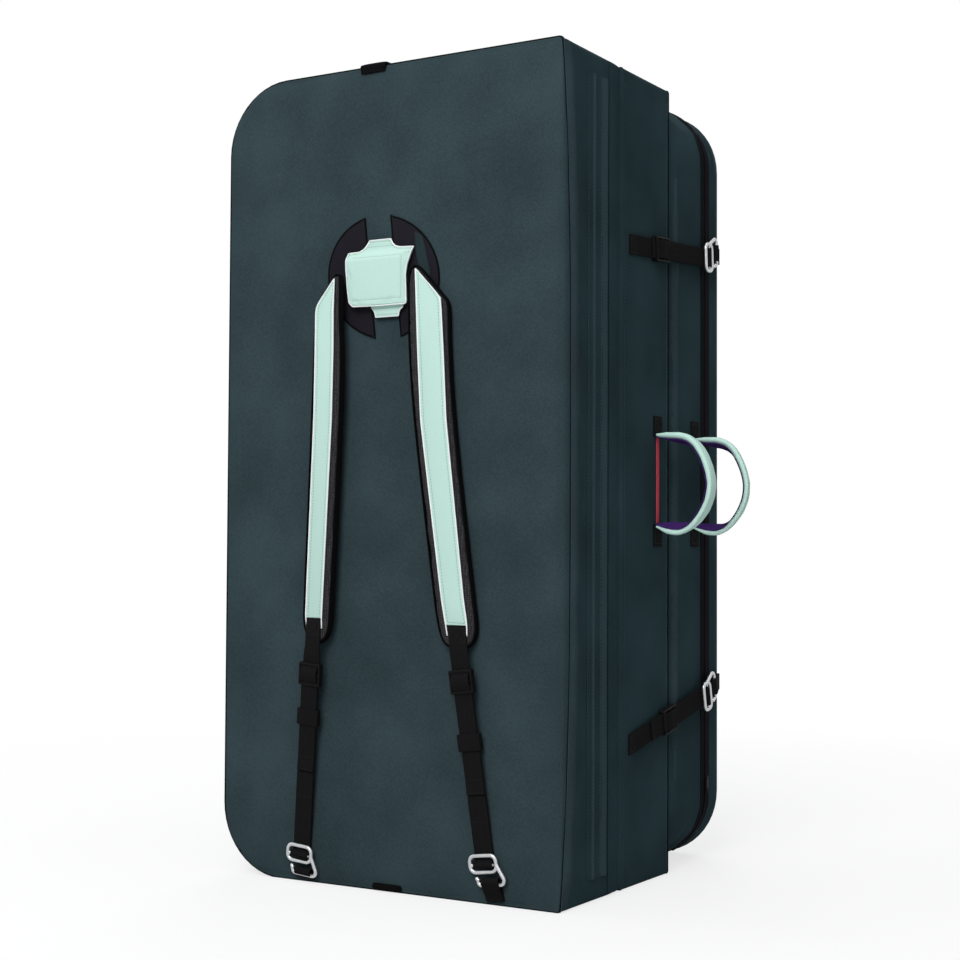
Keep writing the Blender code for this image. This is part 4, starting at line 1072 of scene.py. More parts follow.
def tube(name, points, radius, closed=False, sides=2):
    """A round cord along points."""
    curve = bpy.data.curves.new(name, "CURVE")
    curve.dimensions = "3D"
    curve.bevel_depth = radius
    curve.bevel_resolution = sides
    curve.use_fill_caps = True
    line = curve.splines.new("POLY")
    line.points.add(len(points) - 1)
    for knot, point in zip(line.points, points):
        knot.co = (*point, 1)
    line.use_cyclic_u = closed
    made = bpy.data.objects.new(name, curve)
    bpy.context.scene.collection.objects.link(made)
    alone(made)
    bpy.ops.object.convert(target="MESH")
    made = bpy.context.object
    flat_unwrapped(made)
    return shaded(made, 60)


def make_stitch():
    """One stitch, a unit long, pressed in at its ends."""
    made = fresh(bpy.ops.mesh.primitive_uv_sphere_add, "stitch", segments=6, ring_count=4, radius=0.5)
    for vertex in made.data.vertices:
        x, y, z = vertex.co
        vertex.co = (z, y, x * 0.8 + 0.12 - 1.1 * z * z)
    return form_of(made)


def repeated(name, form, frames):
    """One mesh of many copies of a small form, each at its own frame."""
    points, faces = form
    points = np.array([(*p, 1) for p in points])
    all_points, all_faces = [], []
    for frame_of_copy in frames:
        start = len(all_points) * len(points)
        all_points.append((points @ np.array(frame_of_copy).T)[:, :3])
        all_faces += [tuple(i + start for i in face) for face in faces]
    mesh = bpy.data.meshes.new(name)
    mesh.from_pydata(np.concatenate(all_points).tolist(), [], all_faces)
    made = bpy.data.objects.new(name, mesh)
    bpy.context.scene.collection.objects.link(made)
    return shaded(made, 70)


def framed(point, ahead, facing, scale):
    """A frame with its X ahead and its Z as near a facing as it can be."""
    side = facing.cross(ahead).normalized()
    columns = [axis * size for axis, size in zip((ahead, side, ahead.cross(side)), scale)]
    return frame_at(point, Matrix(columns).transposed())


def seam_frames(row, length=0.0030, pitch=0.0042, thick=0.0007):
    """Places for the stitches of one seam, given as points and their facings."""
    frames, carried = [], pitch / 2
    for (a, facing_a), (b, facing_b) in zip(row, row[1:]):
        a, b = Vector(a), Vector(b)
        span = (b - a).length
        if span < 1e-7:
            continue
        ahead = (b - a) / span
        while carried < span:
            share = carried / span
            facing = Vector(facing_a).lerp(Vector(facing_b), share).normalized()
            frames.append(framed(a.lerp(b, share), ahead, facing, (length, thick, thick * 0.8)))
            carried += pitch
        carried -= span
    return frames


def seams(name, rows, body, finish, slot, **how):
    frames = [place for row in rows for place in seam_frames(row, **how)]
    return finished(repeated(name, STITCH, frames), body, slot=slot, finish=finish)


def pressed_on(piece, points, ahead, lift=0.0001):
    """Points moved along a direction onto a piece's surface, each with the facing there."""
    bpy.context.view_layer.update()
    row = []
    for point in points:
        hit, place, facing, _ = piece.ray_cast(Vector(point) - ahead * 0.05, ahead)
        if hit:
            row.append((place + facing * lift, facing))
    return row


def box_stitch(band, start, end, half, lift):
    """Rows of a sewn box with its cross, on a band between two distances."""
    def run(*corners):
        row = []
        for (s, a), (t, b) in zip(corners, corners[1:]):
            steps = 6
            row += [band.at(s + (t - s) * i / steps, a + (b - a) * i / steps, lift) for i in range(steps + 1)]
        return row
    return [
        run((start, -half), (end, -half), (end, half), (start, half), (start, -half)),
        run((start, -half), (end, half)),
        run((start, half), (end, -half)),
    ]


# Seams of the covers


def outline_of(panel, y, lift, steps=12):
    """The panel's outline at a depth, lifted off its wall: points and facings."""
    inset = wall_inset(panel, y)
    middle = panel["top"] / 2
    line = []
    for quarter, (side, level) in enumerate(((1, 1), (-1, 1), (-1, -1), (1, -1))):
        free = side == panel["free"]
        radius = (FREE_CORNER if free else SEWN_CORNER) * (1 - inset / HALF_WIDTH)
        x = side * (HALF_WIDTH - inset - radius)
        z = middle + level * (middle - inset - radius)
        turns = steps if free else 4
        for i in range(turns + 1):
            angle = (quarter + i / turns) * math.pi / 2
            out = Vector((math.cos(angle), 0, math.sin(angle)))
            line.append((Vector((x, y, z)) + out * (radius + lift), out))
    line.append(line[0])
    refined = []
    for (a, out_a), (b, out_b) in zip(line, line[1:]):
        count = max(1, math.ceil((b - a).length / 0.012))
        refined += [(a.lerp(b, i / count), out_a.lerp(out_b, i / count).normalized()) for i in range(count)]
    return refined


def above_floor(line, clear):
    return [(Vector((p.x, p.y, max(p.z, clear))), out) for p, out in line]


def edge_followed(line):
    """Seam points moved back and out with the carry panel's soft right front edge."""
    moved = []
    for point, out in line:
        share = bowed(point.z) * (point.x > HALF_WIDTH - 0.004)
        rise = ROLL_HEIGHT * roll_shape(max(0.0, point.y + OUTER - PIPING_SET))
        moved.append((point + Vector((EDGE_SWELL + rise, EDGE_ROLL, 0)) * share, out))
    return moved


def ring_of(name, line, radius, body, finish, sides=2):
    """A closed cord along a face's seam, kept above the floor."""
    cord = tube(name, [p for p, out in above_floor(line, radius)], radius, closed=True, sides=sides)
    finished(cord, body, slot="cover_fabric", finish=finish)


def cover_seams(name):
    """Piping round each face's edge, painted lighter than the cover as a highlight on the crowned faces and near-black
    as a shadow line on the centre panel, with a dark cord painted as its shadow line and the topstitching beside it.
    """
    panel = PANELS[name]
    body = f"{name}_panel"
    stitched = []
    for which, plane, inward, crown in (
        ("front", panel["front"], 1, panel["crown"][0]), ("back", panel["back"], -1, panel["crown"][1]),
    ):
        if name != "centre" and not crown:
            continue
        soft = (name, which) == ("carry", "front")
        follow = edge_followed if soft else list
        deep = 0.0010 if soft else 0.0006
        line = follow(outline_of(panel, plane + inward * PIPING_SET, -0.0004))
        # On the centre panel the piping is near-black, a painted shadow line; elsewhere it is painted lighter, a
        # painted highlight.
        ring_of(f"{name}_{which}_piping", line, PIPING, body, PIPING_HIGHLIGHT_CLOTH if crown else SEAM_SHADOW)
        line = follow(outline_of(panel, plane + inward * 0.0012, deep - 0.0008))
        # A dark cord just inside the piping: the painted shadow line in the seam.
        ring_of(f"{name}_{which}_seam", line, deep, body, SEAM_SHADOW, sides=1)
        line = outline_of(panel, plane + inward * 0.0085, 0.0001)
        stitched.append([(p, out) for p, out in line if p.z > 0.002 and not (soft and p.x > HALF_WIDTH - 0.001)])
    if name == "rear":
        x, y = HALF_WIDTH + 0.0004, panel["front"] + 0.0245
        stitched.append([(Vector((x, y, z)), Vector((1, 0, 0))) for z in np.linspace(0.13, 0.88, 60)])
    seams(f"{name}_cover_stitches", stitched, body, COVER_THREAD, "cover_fabric")


# Strips and gussets at the folds


STRIP_START = 0.10875
STRIP_FOOT = 0.026
# Across the strip: how far from its first edge, and how far out from the wall
STRIP_PROFILE = (
    (0.0000, 0.0004), (0.0006, 0.0024), (0.0022, 0.0031), (0.0045, 0.0030), (0.0075, 0.0024), (0.0105, 0.0016),
    (0.0135, 0.0010), (0.0165, 0.0006), (0.0215, 0.0005), (0.0270, 0.0006), (0.0300, 0.0012), (0.0318, 0.0021),
    (0.0332, 0.0025), (0.0350, 0.0020), (0.0370, 0.0012), (0.0395, 0.0006), (0.0440, 0.0004), (0.0485, 0.0003),
)
STRIP_THREADS = ((0.0150, 0.0010), (0.0352, 0.0022), (0.0476, 0.0008))


def run_of(profile):
    """How far along a profile each of its points lies."""
    run = [0.0]
    for a, b in zip(profile, profile[1:]):
        run.append(run[-1] + math.dist(a, b))
    return run


def fold_strip(name, side, body):
    """The folded double strip stitched down beside a fold, puckered a little between its stitches."""
    rows, last = 240, len(STRIP_PROFILE) - 1
    low, high = STRIP_FOOT, HEIGHT - STRIP_FOOT

    def spot(i, k):
        off, out = STRIP_PROFILE[i]
        z = low + (high - low) * k / rows
        ridge = max(0.0, (out - 0.0008) / 0.0020)
        drift = 0.0006 * noise.noise(Vector((0, side * 5, z * 9))) * (0 < i < last)
        fine = 0.0003 * noise.noise(Vector((off * 120, side * 3, z * 210)))
        broad = 0.0005 * noise.noise(Vector((off * 60, side * 3, z * 22)))
        lift = min(out + (fine + broad) * ridge, 0.0031)
        return side * (HALF_WIDTH + lift), -side * (STRIP_START + off + drift), z

    made = gridded_cloth(
        f"{name}_fold_cloth", last, rows, lambda i, k: (STRIP_PROFILE[i][0], low + (high - low) * k / rows), spot
    )
    shape(made, "SOLIDIFY", thickness=0.0003, offset=0)
    shaded(softened(made), 60)
    finished(made, body, f"{name}_fold_strip", slot="cover_fabric", finish=FOLD_HIGHLIGHT_CLOTH)
    # The raised parts of the strip take the lighter cloth as a painted highlight, its low parts the darker copy as
    # painted shade.
    made.data.materials.append(WALL_SHADE_CLOTH)
    for face in made.data.polygons:
        face.material_index = int(abs(face.center.x) < HALF_WIDTH + 0.0013)
    beneath = COVERS["carry" if side > 0 else "rear"]
    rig.sheet(made, flat=(run_of(STRIP_PROFILE)[-1], high - low), held="folded", rests_on=[beneath])
    threads = [
        [
            (Vector((side * (HALF_WIDTH + lift), -side * (STRIP_START + off), z)), Vector((side, 0, 0)))
            for z in np.linspace(low + 0.004, high - 0.004, 60)
        ]
        for off, lift in STRIP_THREADS
    ]
    seams(f"{name}_fold_strip_stitches", threads, body, COVER_THREAD, "cover_fabric")


def edge_curve(plane, turn, edge, first, last, lift, steps=12):
    depth, draw = edge
    path = []
    for i in range(steps + 1):
        angle = first + (last - first) * i / steps
        normal = Vector((-turn * math.cos(angle) / depth, math.sin(angle) / draw)).normalized() * lift
        y = plane + turn * depth * (1 - math.cos(angle))
        path.append((y + normal.x, normal.y - draw * (1 - math.sin(angle))))
    return path


def fold_gusset(name, side, moving):
    """The pleat tucked between two panels, which opens as the fold opens."""
    lift = GAP + 0.0005
    flat = math.pi / 2
    outer = edge_curve(-INNER, -1, FOLD, flat, math.radians(22), lift, 14)
    centre = edge_curve(-CENTRE_FACE, 1, SQUARE, math.radians(50), flat, lift, 6)
    low, high = 0.0020, HEIGHT - 0.0020
    profile = outer + centre
    run = run_of(profile)
    rows, last = 150, len(profile) - 1

    def spot(i, k):
        y, out = profile[i]
        z = low + (high - low) * k / rows
        wave = 0.0004 * noise.noise(Vector((i / last * 3, side * 9, z * 14))) * math.sin(math.pi * i / last)
        return side * (HALF_WIDTH + out + wave), side * y, z

    made = gridded_cloth(
        f"{name}_gusset_cloth", last, rows, lambda i, k: (run[i], low + (high - low) * k / rows), spot
    )
    shape(made, "SOLIDIFY", thickness=0.0006, offset=0)
    shaded(softened(made), 60)
    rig.blend(
        made, "centre_panel", moving,
        start=(side * HALF_WIDTH, -side * 0.0665, 0.5), end=(side * HALF_WIDTH, -side * 0.0800, 0.5),
    )
    # The pleat takes the darker copy of the cover's cloth: painted shade between the panels.
    finished(made, None, f"{name}_fold_gusset", slot="cover_fabric", finish=WALL_SHADE_CLOTH)
    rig.sheet(made, flat=(run[-1], high - low), held="folded", rests_on=[COVERS["centre"]])


# Zips


ZIP_TAPE = 0.0010
ZIP_WIDTH = 0.026
TOOTH_PITCH = 0.00135
CHAIN_TOP = GAP + ZIP_TAPE + 0.0015 - 0.0002
REAR_ZIP = OUTER - 0.0433
CARRY_ZIP = -OUTER + 0.083
ZIP_START = 0.118


def make_tooth():
    """One coil turn of a zip: a rounded bar, bent down at its outer end."""
    made = block("tooth", (1, 1, 1))
    choose(made, "FACE", lambda face: face.normal.y > 0.9)
    bpy.ops.mesh.extrude_region_move(TRANSFORM_OT_translate={"value": (0, 0.35, -0.18)})
    bpy.ops.transform.resize(value=(0.8, 1, 0.7))
    leave()
    return form_of(bevelled(made, 0.16, 1, 50))


def zip_of(name, points, outs):
    """A panel's zip along a path on its wall: woven tape, two rows of coil, and its sewing."""
    body = f"{name}_panel"
    level = Vector((0, 1, 0))
    lifted = [Vector(p) + Vector(n) * (GAP + ZIP_TAPE / 2) for p, n in zip(points, outs)]
    band = Band(lifted, level, step=0.004)
    middle = band.at(band.length / 2)[0]
    nearest = min(zip(points, outs), key=lambda pair: (Vector(pair[0]) - middle).length)
    sign = band.turned(band.length / 2, nearest[1])
    tape = laid_band(f"{name}_zip_tape", band, ZIP_WIDTH, ZIP_TAPE, 0.0003, 8)
    finished(tape, body, slot="zip_chain", finish=ZIP_TAPE_CLOTH)
    frames = []
    for n in range(int(band.length / TOOTH_PITCH)):
        at = (n + 0.5) * TOOTH_PITCH
        point, facing = band.at(at)
        ahead = (band.at(at + 0.001)[0] - band.at(at - 0.001)[0]).normalized()
        facing = facing * sign
        side = 1 if n % 2 else -1
        place = framed(point + facing * 0.0010 + level * (0.0006 * side), ahead, facing, (0.0011, 0.0024, 0.0010))
        if (place.to_3x3() @ Vector((0, 1, 0))).dot(level * side) < 0:
            place = place @ Matrix.Rotation(math.pi, 4, "Z")
        frames.append(place)
    coil = repeated(f"{name}_zip_coil", TOOTH, frames)
    finished(coil, body, f"{name}_zip", slot="zip_chain", finish=COIL_NYLON)
    rows = [
        [band.at(s, across, sign * (ZIP_TAPE / 2 - 0.0001)) for s in np.linspace(0.002, band.length - 0.002, 160)]
        for across in (-0.0112, -0.0052, 0.0052, 0.0112)
    ]
    seams(f"{name}_zip_stitches", facing_out(rows, sign), body, BLACK_THREAD, "zip_chain", thick=0.0006)


def corner_zip(name, y, side, top):
    """A zip up the side wall, through the free corners and a little along the top wall."""
    steps = 16
    quarter = [math.pi / 2 * i / steps for i in range(steps + 1)]
    low = [-a for a in reversed(quarter) if a <= math.pi / 2 * 5 / 7 + 0.01]
    path, outs = [], []
    for angles, centre in ((low, FREE_CORNER), (quarter, top - FREE_CORNER)):
        for angle in angles:
            out = Vector((side * math.cos(angle), 0, math.sin(angle)))
            path.append(Vector((side * (HALF_WIDTH - FREE_CORNER), y, centre)) + out * FREE_CORNER)
            outs.append(out)
    path.append(path[-1] - Vector((side * 0.060, 0, 0)))
    outs.append(outs[-1])
    zip_of(name, path, outs)


def make_slider():
    """A zip slider in its own frame: out along X, along the zip in Z, its pull hanging down."""
    foot, top = 2 * GAP + ZIP_TAPE, CHAIN_TOP + GAP + 0.0014
    body = block("slider", (top - foot, 0.010, 0.014), ((top + foot) / 2, 0, 0))
    choose(body, "FACE", lambda face: face.normal.z > 0.9)
    bpy.ops.mesh.bevel(offset=0.0028, segments=3, affect="EDGES")
    leave()
    choose(body, "FACE", lambda face: face.normal.z < -0.9)
    bpy.ops.transform.resize(value=(1, 0.72, 1))
    leave()
    cut_from(body, block("slider channel", (0.006, 0.0066, 0.03), (CHAIN_TOP + GAP - 0.003, 0, 0)))
    bevelled(body, 0.0004, 2, 40)
    bridge = bent_bar("slider bridge", Vector((top - 0.0006, 0, 0.0045)), Vector((1, 0, 0)), 0.0007, [
        ("run", 0.0010), ("bend", 0.0012, -90), ("run", 0.0062), ("bend", 0.0012, -90), ("run", 0.0010),
    ], 8)
    pull = block("slider pull", (0.0009, 0.006, 0.024), (top + 0.0006, 0, -0.0185))
    choose(pull, "EDGE", lambda edge: along(pull.data, edge) == 0)
    bpy.ops.mesh.bevel(offset=0.0022, segments=4, affect="EDGES")
    leave()
    for at, size in ((-0.0090, 0.0026), (-0.0235, 0.0030)):
        cut_from(pull, level_rod("pull hole", size / 2, 0.01, (top + 0.0006, 0, at), 16))
    bevelled(pull, 0.0002, 2, 40)
    cord = bent_bar("pull cord", Vector((top + 0.0012, 0, -0.0235)), Vector((0, 0, -1)), 0.0009, [
        ("run", 0.0200), ("bend", 0.0010, 20), ("run", 0.0050),
    ], 8)
    return shaded(combined("slider", body, bridge, pull, cord), 40)


def bent_bar(name, start, ahead, radius, moves, sides=16):
    """A round bar bent as on a bench: straight runs, and turns about Y."""
    turn_about = Vector((0, 1, 0))
    ahead = ahead.normalized()
    made = fresh(
        bpy.ops.mesh.primitive_circle_add, name, vertices=sides, radius=radius, fill_type="NGON",
        location=start, rotation=ahead.to_track_quat("Z", "Y").to_euler(),
    )
    settle(made)
    choose(made, "FACE", lambda face: True)
    place = start
    for move in moves:
        if move[0] == "run":
            step = ahead * move[1]
            bpy.ops.mesh.extrude_region_move(TRANSFORM_OT_translate={"value": step})
            place = place + step
        else:
            bend, angle = move[1], math.radians(move[2])
            centre = place + turn_about.cross(ahead) * math.copysign(bend, angle)
            steps = max(2, math.ceil(abs(angle) / math.radians(12)))
            bpy.ops.mesh.spin(steps=steps, angle=-angle, center=centre, axis=turn_about)
            turned = Matrix.Rotation(angle, 3, turn_about)
            place = centre + turned @ (place - centre)
            ahead = turned @ ahead
    leave()
    choose(made, "FACE", lambda face: True)
    bpy.ops.mesh.remove_doubles(threshold=1e-6)
    bpy.ops.mesh.normals_make_consistent(inside=False)
    leave()
    return made


# Strap hardware


def make_hook():
    """The bent hook in its own frame: a closed ring with its cross bar, and an open leg."""
    run_x, run_z = 2 * (EDGE - RING_CORNER), RAIL + LOWER_RAIL - 2 * RING_CORNER
    turn = ("bend", RING_CORNER, 90)
    ring = bent_bar("ring", Vector((-run_x / 2, 0, RAIL)), Vector((1, 0, 0)), ROD, [
        ("run", run_x), turn, ("run", run_z), turn, ("run", run_x), turn, ("run", run_z), turn,
    ])
    bar = bent_bar("bar", Vector((-EDGE, 0, 0)), Vector((1, 0, 0)), BAR, [("run", 2 * EDGE)])
    lean = math.atan2(LEG_REACH, FOOT - 0.004)
    down = Vector((math.sin(lean), 0, -math.cos(lean)))
    bend = 0.0052
    length = (FOOT - bend * 0.8) / math.cos(lean)
    across = EDGE + LEG_REACH - (-EDGE + TIP_INSET) - 2 * bend
    leg = bent_bar("leg", Vector((EDGE, 0, 0)), down, ROD * 1.04, [
        ("run", length), ("bend", bend, 90 + math.degrees(lean)), ("run", across), ("bend", bend * 0.8, 90),
        ("run", TIP_HEIGHT - bend * 0.6),
    ])
    end = max((v.co for v in leg.data.vertices if v.co.x < 0), key=lambda co: co.z)
    tip = settle(fresh(
        bpy.ops.mesh.primitive_uv_sphere_add, "tip", segments=12, ring_count=8, radius=ROD * 1.04,
        location=(-EDGE + TIP_INSET, 0, end.z),
    ))
    whole = combined("hook", ring, bar, leg, tip)
    shape(whole, "REMESH", mode="VOXEL", voxel_size=0.00062, use_smooth_shade=True)
    return shape(whole, "SMOOTH", factor=0.5, iterations=4)


SLEEVE_BAR = 0.0035


def sleeve(name, width, length, side_room, bars, rail=0.0022, wall=0.0012):
    """A moulded slider round two layers of webbing, with windows that leave its cross bars."""
    low, high = -TAPE / 2 - 0.0005, RETURN_LIFT + TAPE / 2 + 0.0005
    half_inner = width / 2 + side_room
    middle = (0, -(high + low) / 2, 0)
    made = block(name, (2 * (half_inner + rail), high - low + 2 * wall, length), middle)
    choose(made, "EDGE", lambda edge: along(made.data, edge) == 1)
    bpy.ops.mesh.bevel(offset=min(0.0016, rail * 0.7), segments=3, affect="EDGES")
    leave()
    cut_from(made, block("room", (2 * half_inner, high - low, length * 2), middle))
    if bars:
        window = (length - SLEEVE_BAR * (bars + 1)) / bars
        pitch = window + SLEEVE_BAR
        first = SLEEVE_BAR - length / 2
        for i in range(bars):
            at = first + i * pitch + window / 2
            cut_from(made, block("window", (2 * half_inner - 0.0002, 0.01, window), (0, -high - 0.0045, at)))
        for i in range(bars + 1):
            at = first + i * pitch - SLEEVE_BAR / 2
            grip = level_rod("grip", 0.0007, 2 * half_inner, (0, -high - wall, at), 10)
            made = combined(name, made, bevelled(grip, 0.0003, 1))
    bevelled(made, 0.00045)
    return shaded(flat_unwrapped(made), 35)


def over_bar(name, place, reach, body):
    """The turn of webbing that goes over a slider's middle bar, between its end bars."""
    path = [(1, 0.0037), (0.8, 0.0042), (0.45, 0.0059), (0, 0.0065), (-0.45, 0.0059), (-0.8, 0.0042), (-1, 0.0037)]
    route = Band([(0, -out, -share * reach) for share, out in path], Vector((1, 0, 0)), place, step=0.0015, rounds=2)
    made = laid_band(name, route, 0.0236, 0.0014, 0.0003)
    finished(made, body, slot="webbing", finish=BLACK_WEBBING)


def hairpin(reach, return_end):
    """The webbing's way to the hook's bar, round it and back: how far down, and how far out."""
    turn = BAR + GAP + TAPE / 2
    rail = reach - RAIL
    bend = arc((reach, HOOK_LIFT), turn, -math.pi / 2, math.pi / 2, 13)
    return [
        (rail + WIRE, 0), (reach - turn, HOOK_LIFT / 3), *bend,
        (reach - turn * 0.92, HOOK_LIFT + turn * 0.63), (reach - turn * 1.5, HOOK_LIFT - turn / 2),
        (rail + WIRE, RETURN_LIFT + TAPE / 4), (rail, RETURN_LIFT), (return_end, RETURN_LIFT),
    ]


def strap_route(lead, reach, return_end, place):
    """Webbing that comes from its sewn lead, goes round the hook's bar and returns under itself."""
    path = [((0, -out, -at), (1, 0, 0)) for at, out in hairpin(reach, return_end)]
    points, sides = zip(*lead, *path)
    return Band(points, list(sides), place, step=0.0020, rounds=1)


def shifted(place, at, out=0.0):
    """A strap's place moved down along it, and out from it."""
    return place @ Matrix.Translation((0, -out, -at))


# Closure straps


CLOSURE_REACH = {"right": 0.2155, "left": 0.1855}
CLOSURES = {
    "upper": dict(height=0.7845, tilt=math.radians(3.5), slider=0.082),
    "lower": dict(height=0.173, tilt=math.radians(12.2), slider=0.1065),
}
CLOSURE_ROOT = 0.0022


def closure_basis(side, tilt, rise):
    level = Vector((0, side * math.cos(tilt), math.sin(tilt)))
    out = Vector((side, 0, 0))
    ahead = level * math.cos(rise) + out * math.sin(rise)
    across = out.cross(level)
    return Matrix((across, -ahead.cross(across), -ahead)).transposed()


def closure_loop(name, side, tilt, bar, body):
    """The sewn loop that a closure's hook holds: round the panel's edge on the right, flat on the wall on the left."""
    inner = GAP + TAPE / 2
    outer = inner + TAPE + GAP
    at, out = side * bar.y, side * bar.x - HALF_WIDTH
    bend = arc((at, out), LOOP_TURN, -math.pi / 2, -math.pi * 3 / 2 - math.radians(30), 14)
    lap, rise = 0.016, 0.0005
    across = Vector((0, -side * math.sin(tilt), math.cos(tilt)))
    if side > 0:
        near = edge_curve(OUTER, -1, CRISP, 0, math.pi / 2, inner, 4)
        far = edge_curve(OUTER, -1, CRISP, math.pi / 2, 0, outer, 4)
        path = [(OUTER + inner + rise, -lap), *near, *bend, *far, (OUTER + outer + rise, -lap)]
        upright = Vector((0, 0, 1))
        sides = [*[upright] * (len(near) + 1), *[across] * len(bend), *[upright] * (len(far) + 1)]
    else:
        path = [(at + lap, inner), *bend, (at + lap, outer)]
        sides = [across] * len(path)
    points = [
        (side * (HALF_WIDTH + off), side * run, bar.z + (min(run, at + lap) - at) * math.tan(tilt))
        for run, off in path
    ]
    band = Band(points, sides, step=0.0015, rounds=0)
    made = laid_band(f"{name}_loop_webbing", band, 0.021, rounding=0.0003)
    finished(made, body, f"{name}_loop", slot="webbing", finish=BLACK_WEBBING)
    end = band.length
    sign = band.turned(end - 0.005, (0, 1, 0) if side > 0 else (side, 0, 0))
    rows = box_stitch(band, end - 0.0135, end - 0.0025, 0.0080, sign * (TAPE / 2 + 0.0001))
    seams(f"{name}_loop_stitches", facing_out(rows, sign), body, BLACK_THREAD, "webbing", **WEBBING_STITCH)


def closure(side_name, level_name):
    """One closure strap on the centre panel's wall: webbing, hook and slider, and the loop across the gap."""
    side = 1 if side_name == "right" else -1
    how = CLOSURES[level_name]
    reach = CLOSURE_REACH[side_name]
    rise = math.asin((0.0058 - CLOSURE_ROOT) / reach)
    name = f"{side_name}_{level_name}_closure"
    adjuster = f"{side_name}_{level_name}_adjuster"
    root = Vector((side * (HALF_WIDTH + CLOSURE_ROOT), -side * 0.0485, how["height"]))
    place = frame_at(root, closure_basis(side, how["tilt"], rise))
    upright = place.to_3x3().transposed() @ Vector((0, 0, 1))
    lead = [((0, 0.0011, 0), upright), ((0, 0, -0.030), Vector((1, 0, 0)))]
    route = strap_route(lead, reach, 0.056, place)
    made = laid_band(f"{name}_strap", route, 0.025)
    finished(made, name, f"{name}_webbing", slot="webbing", finish=BLACK_WEBBING)
    sign = route.turned(0.01, (side, 0, 0))
    lift = sign * (TAPE / 2 + 0.0001)
    rows = facing_out(box_stitch(route, 0.0022, 0.0130, 0.0098, lift), sign)
    rows += facing_out([route.crossing(route.length - 0.004, 0.011, 8, -lift)], sign)
    seams(f"{name}_strap_stitches", rows, name, BLACK_THREAD, "webbing", **WEBBING_STITCH)
    hook = twin(HOOK, f"{name}_bent_hook", shifted(place, reach, HOOK_LIFT))
    finished(hook, name, f"{name}_hook", slot="aluminium", finish=HOOK_METAL)
    on_slider = shifted(place, how["slider"])
    slid = twin(CLOSURE_SLEEVE, f"{name}_triglide", on_slider)
    finished(slid, adjuster, f"{name}_slider", slot="black_plastic", finish=BLACK_NYLON)
    over_bar(f"{name}_adjuster_turn", on_slider, 0.0140, adjuster)
    bar = place @ Vector((LOOP_X, -HOOK_LIFT, -reach - FOOT))
    closure_loop(name, side, how["tilt"], bar, "rear_panel" if side > 0 else "carry_panel")


# Carry harness


PATCH_HALF = (0.0815, 0.0762)
HARNESS = Vector((-0.0014, FACE, 0.739))
PATCH = 0.0014
YOKE_OUTLINE = (
    (-0.0466, 0.0312), (-0.0308, 0.0316), (-0.0243, 0.0345), (-0.0203, 0.0383), (-0.0170, 0.0425), (-0.0159, 0.0446),
    (0.0157, 0.0446), (0.0184, 0.0390), (0.0225, 0.0354), (0.0289, 0.0336), (0.0491, 0.0327), (0.0459, 0.0254),
    (0.0402, 0.0105), (0.0386, -0.0005), (0.0399, -0.0342), (0.0378, -0.0366), (0.0031, -0.0370),
    (-0.0372, -0.0358), (-0.0428, -0.0302), (-0.0453, -0.0139), (-0.0477, 0.0101), (-0.0482, 0.0227),
)
YOKE_TAB = (
    (0.0345, -0.0330), (0.0329, -0.0389), (0.0290, -0.0420), (0.0273, -0.0450), (0.0265, -0.0497),
    (-0.0066, -0.0495), (-0.0078, -0.0445), (-0.0095, -0.0415), (-0.0130, -0.0373), (-0.0150, -0.0330),
)
CORNER_STRIP = (
    (0.0467, 0.0515), (0.0571, 0.0453), (0.0615, 0.0309), (0.0692, -0.0012), (0.0668, -0.0066), (0.0531, 0.0051),
    (0.0480, 0.0278),
)
SHOULDERS = {
    "left": dict(
        pad=(
            (-0.0520, 0.7400), (-0.0570, 0.7450), (-0.0630, 0.7400), (-0.0880, 0.7130), (-0.0935, 0.7010),
            (-0.0955, 0.6500), (-0.0985, 0.5660), (-0.1095, 0.3350), (-0.1090, 0.3150), (-0.1010, 0.2990),
            (-0.0900, 0.2925), (-0.0780, 0.2955), (-0.0685, 0.3060), (-0.0650, 0.3270), (-0.0510, 0.5660),
            (-0.0495, 0.6500), (-0.0530, 0.6920),
        ),
        facing=(
            (-0.0575, 0.7380), (-0.0865, 0.7080), (-0.0885, 0.7000), (-0.0887, 0.6520), (-0.0901, 0.5660),
            (-0.1015, 0.3250), (-0.0745, 0.3250), (-0.0605, 0.5660), (-0.0587, 0.6510), (-0.0590, 0.7000),
        ),
        roll=math.radians(9), pivot=-0.1115, sewn=(-0.0882, 0.3250), start=(-0.0905, 0.2925),
        hook=(-0.1148, 0.0345), keeper=0.0885, tail=0.1555,
    ),
    "right": dict(
        pad=(
            (0.0430, 0.7380), (0.0480, 0.7470), (0.0555, 0.7480), (0.0895, 0.7100), (0.0965, 0.7030),
            (0.0990, 0.6900), (0.1000, 0.6450), (0.1060, 0.5620), (0.1345, 0.3500), (0.1388, 0.3220),
            (0.1375, 0.3070), (0.1300, 0.2965), (0.1180, 0.2925), (0.1030, 0.2945), (0.0930, 0.3020),
            (0.0868, 0.3210), (0.0815, 0.3500), (0.0510, 0.5620), (0.0438, 0.6450), (0.0422, 0.7070),
        ),
        facing=(
            (0.0550, 0.7430), (0.0905, 0.7060), (0.0945, 0.6450), (0.0990, 0.5620), (0.1244, 0.3510),
            (0.1295, 0.3215), (0.1005, 0.3215), (0.0947, 0.3500), (0.0640, 0.5620), (0.0592, 0.6450),
        ),
        roll=0.0, pivot=0.0480, sewn=(0.1150, 0.3215), start=(0.1178, 0.2925),
        hook=(0.1484, 0.0470), keeper=0.1060, tail=0.1670,
    ),
}
STRAP_TOP = 0.750
PAD_THICK = 0.011
FACING_THICK = 0.0016
LOCK_SET = 0.0355


def rounded_line(points, rounds):
    """A closed outline with its corners cut again and again."""
    for _ in range(rounds):
        cut = []
        for (ax, az), (bx, bz) in zip(points, points[1:] + points[:1]):
            cut += [(ax * 0.75 + bx * 0.25, az * 0.75 + bz * 0.25), (ax * 0.25 + bx * 0.75, az * 0.25 + bz * 0.75)]
        points = cut
    return points


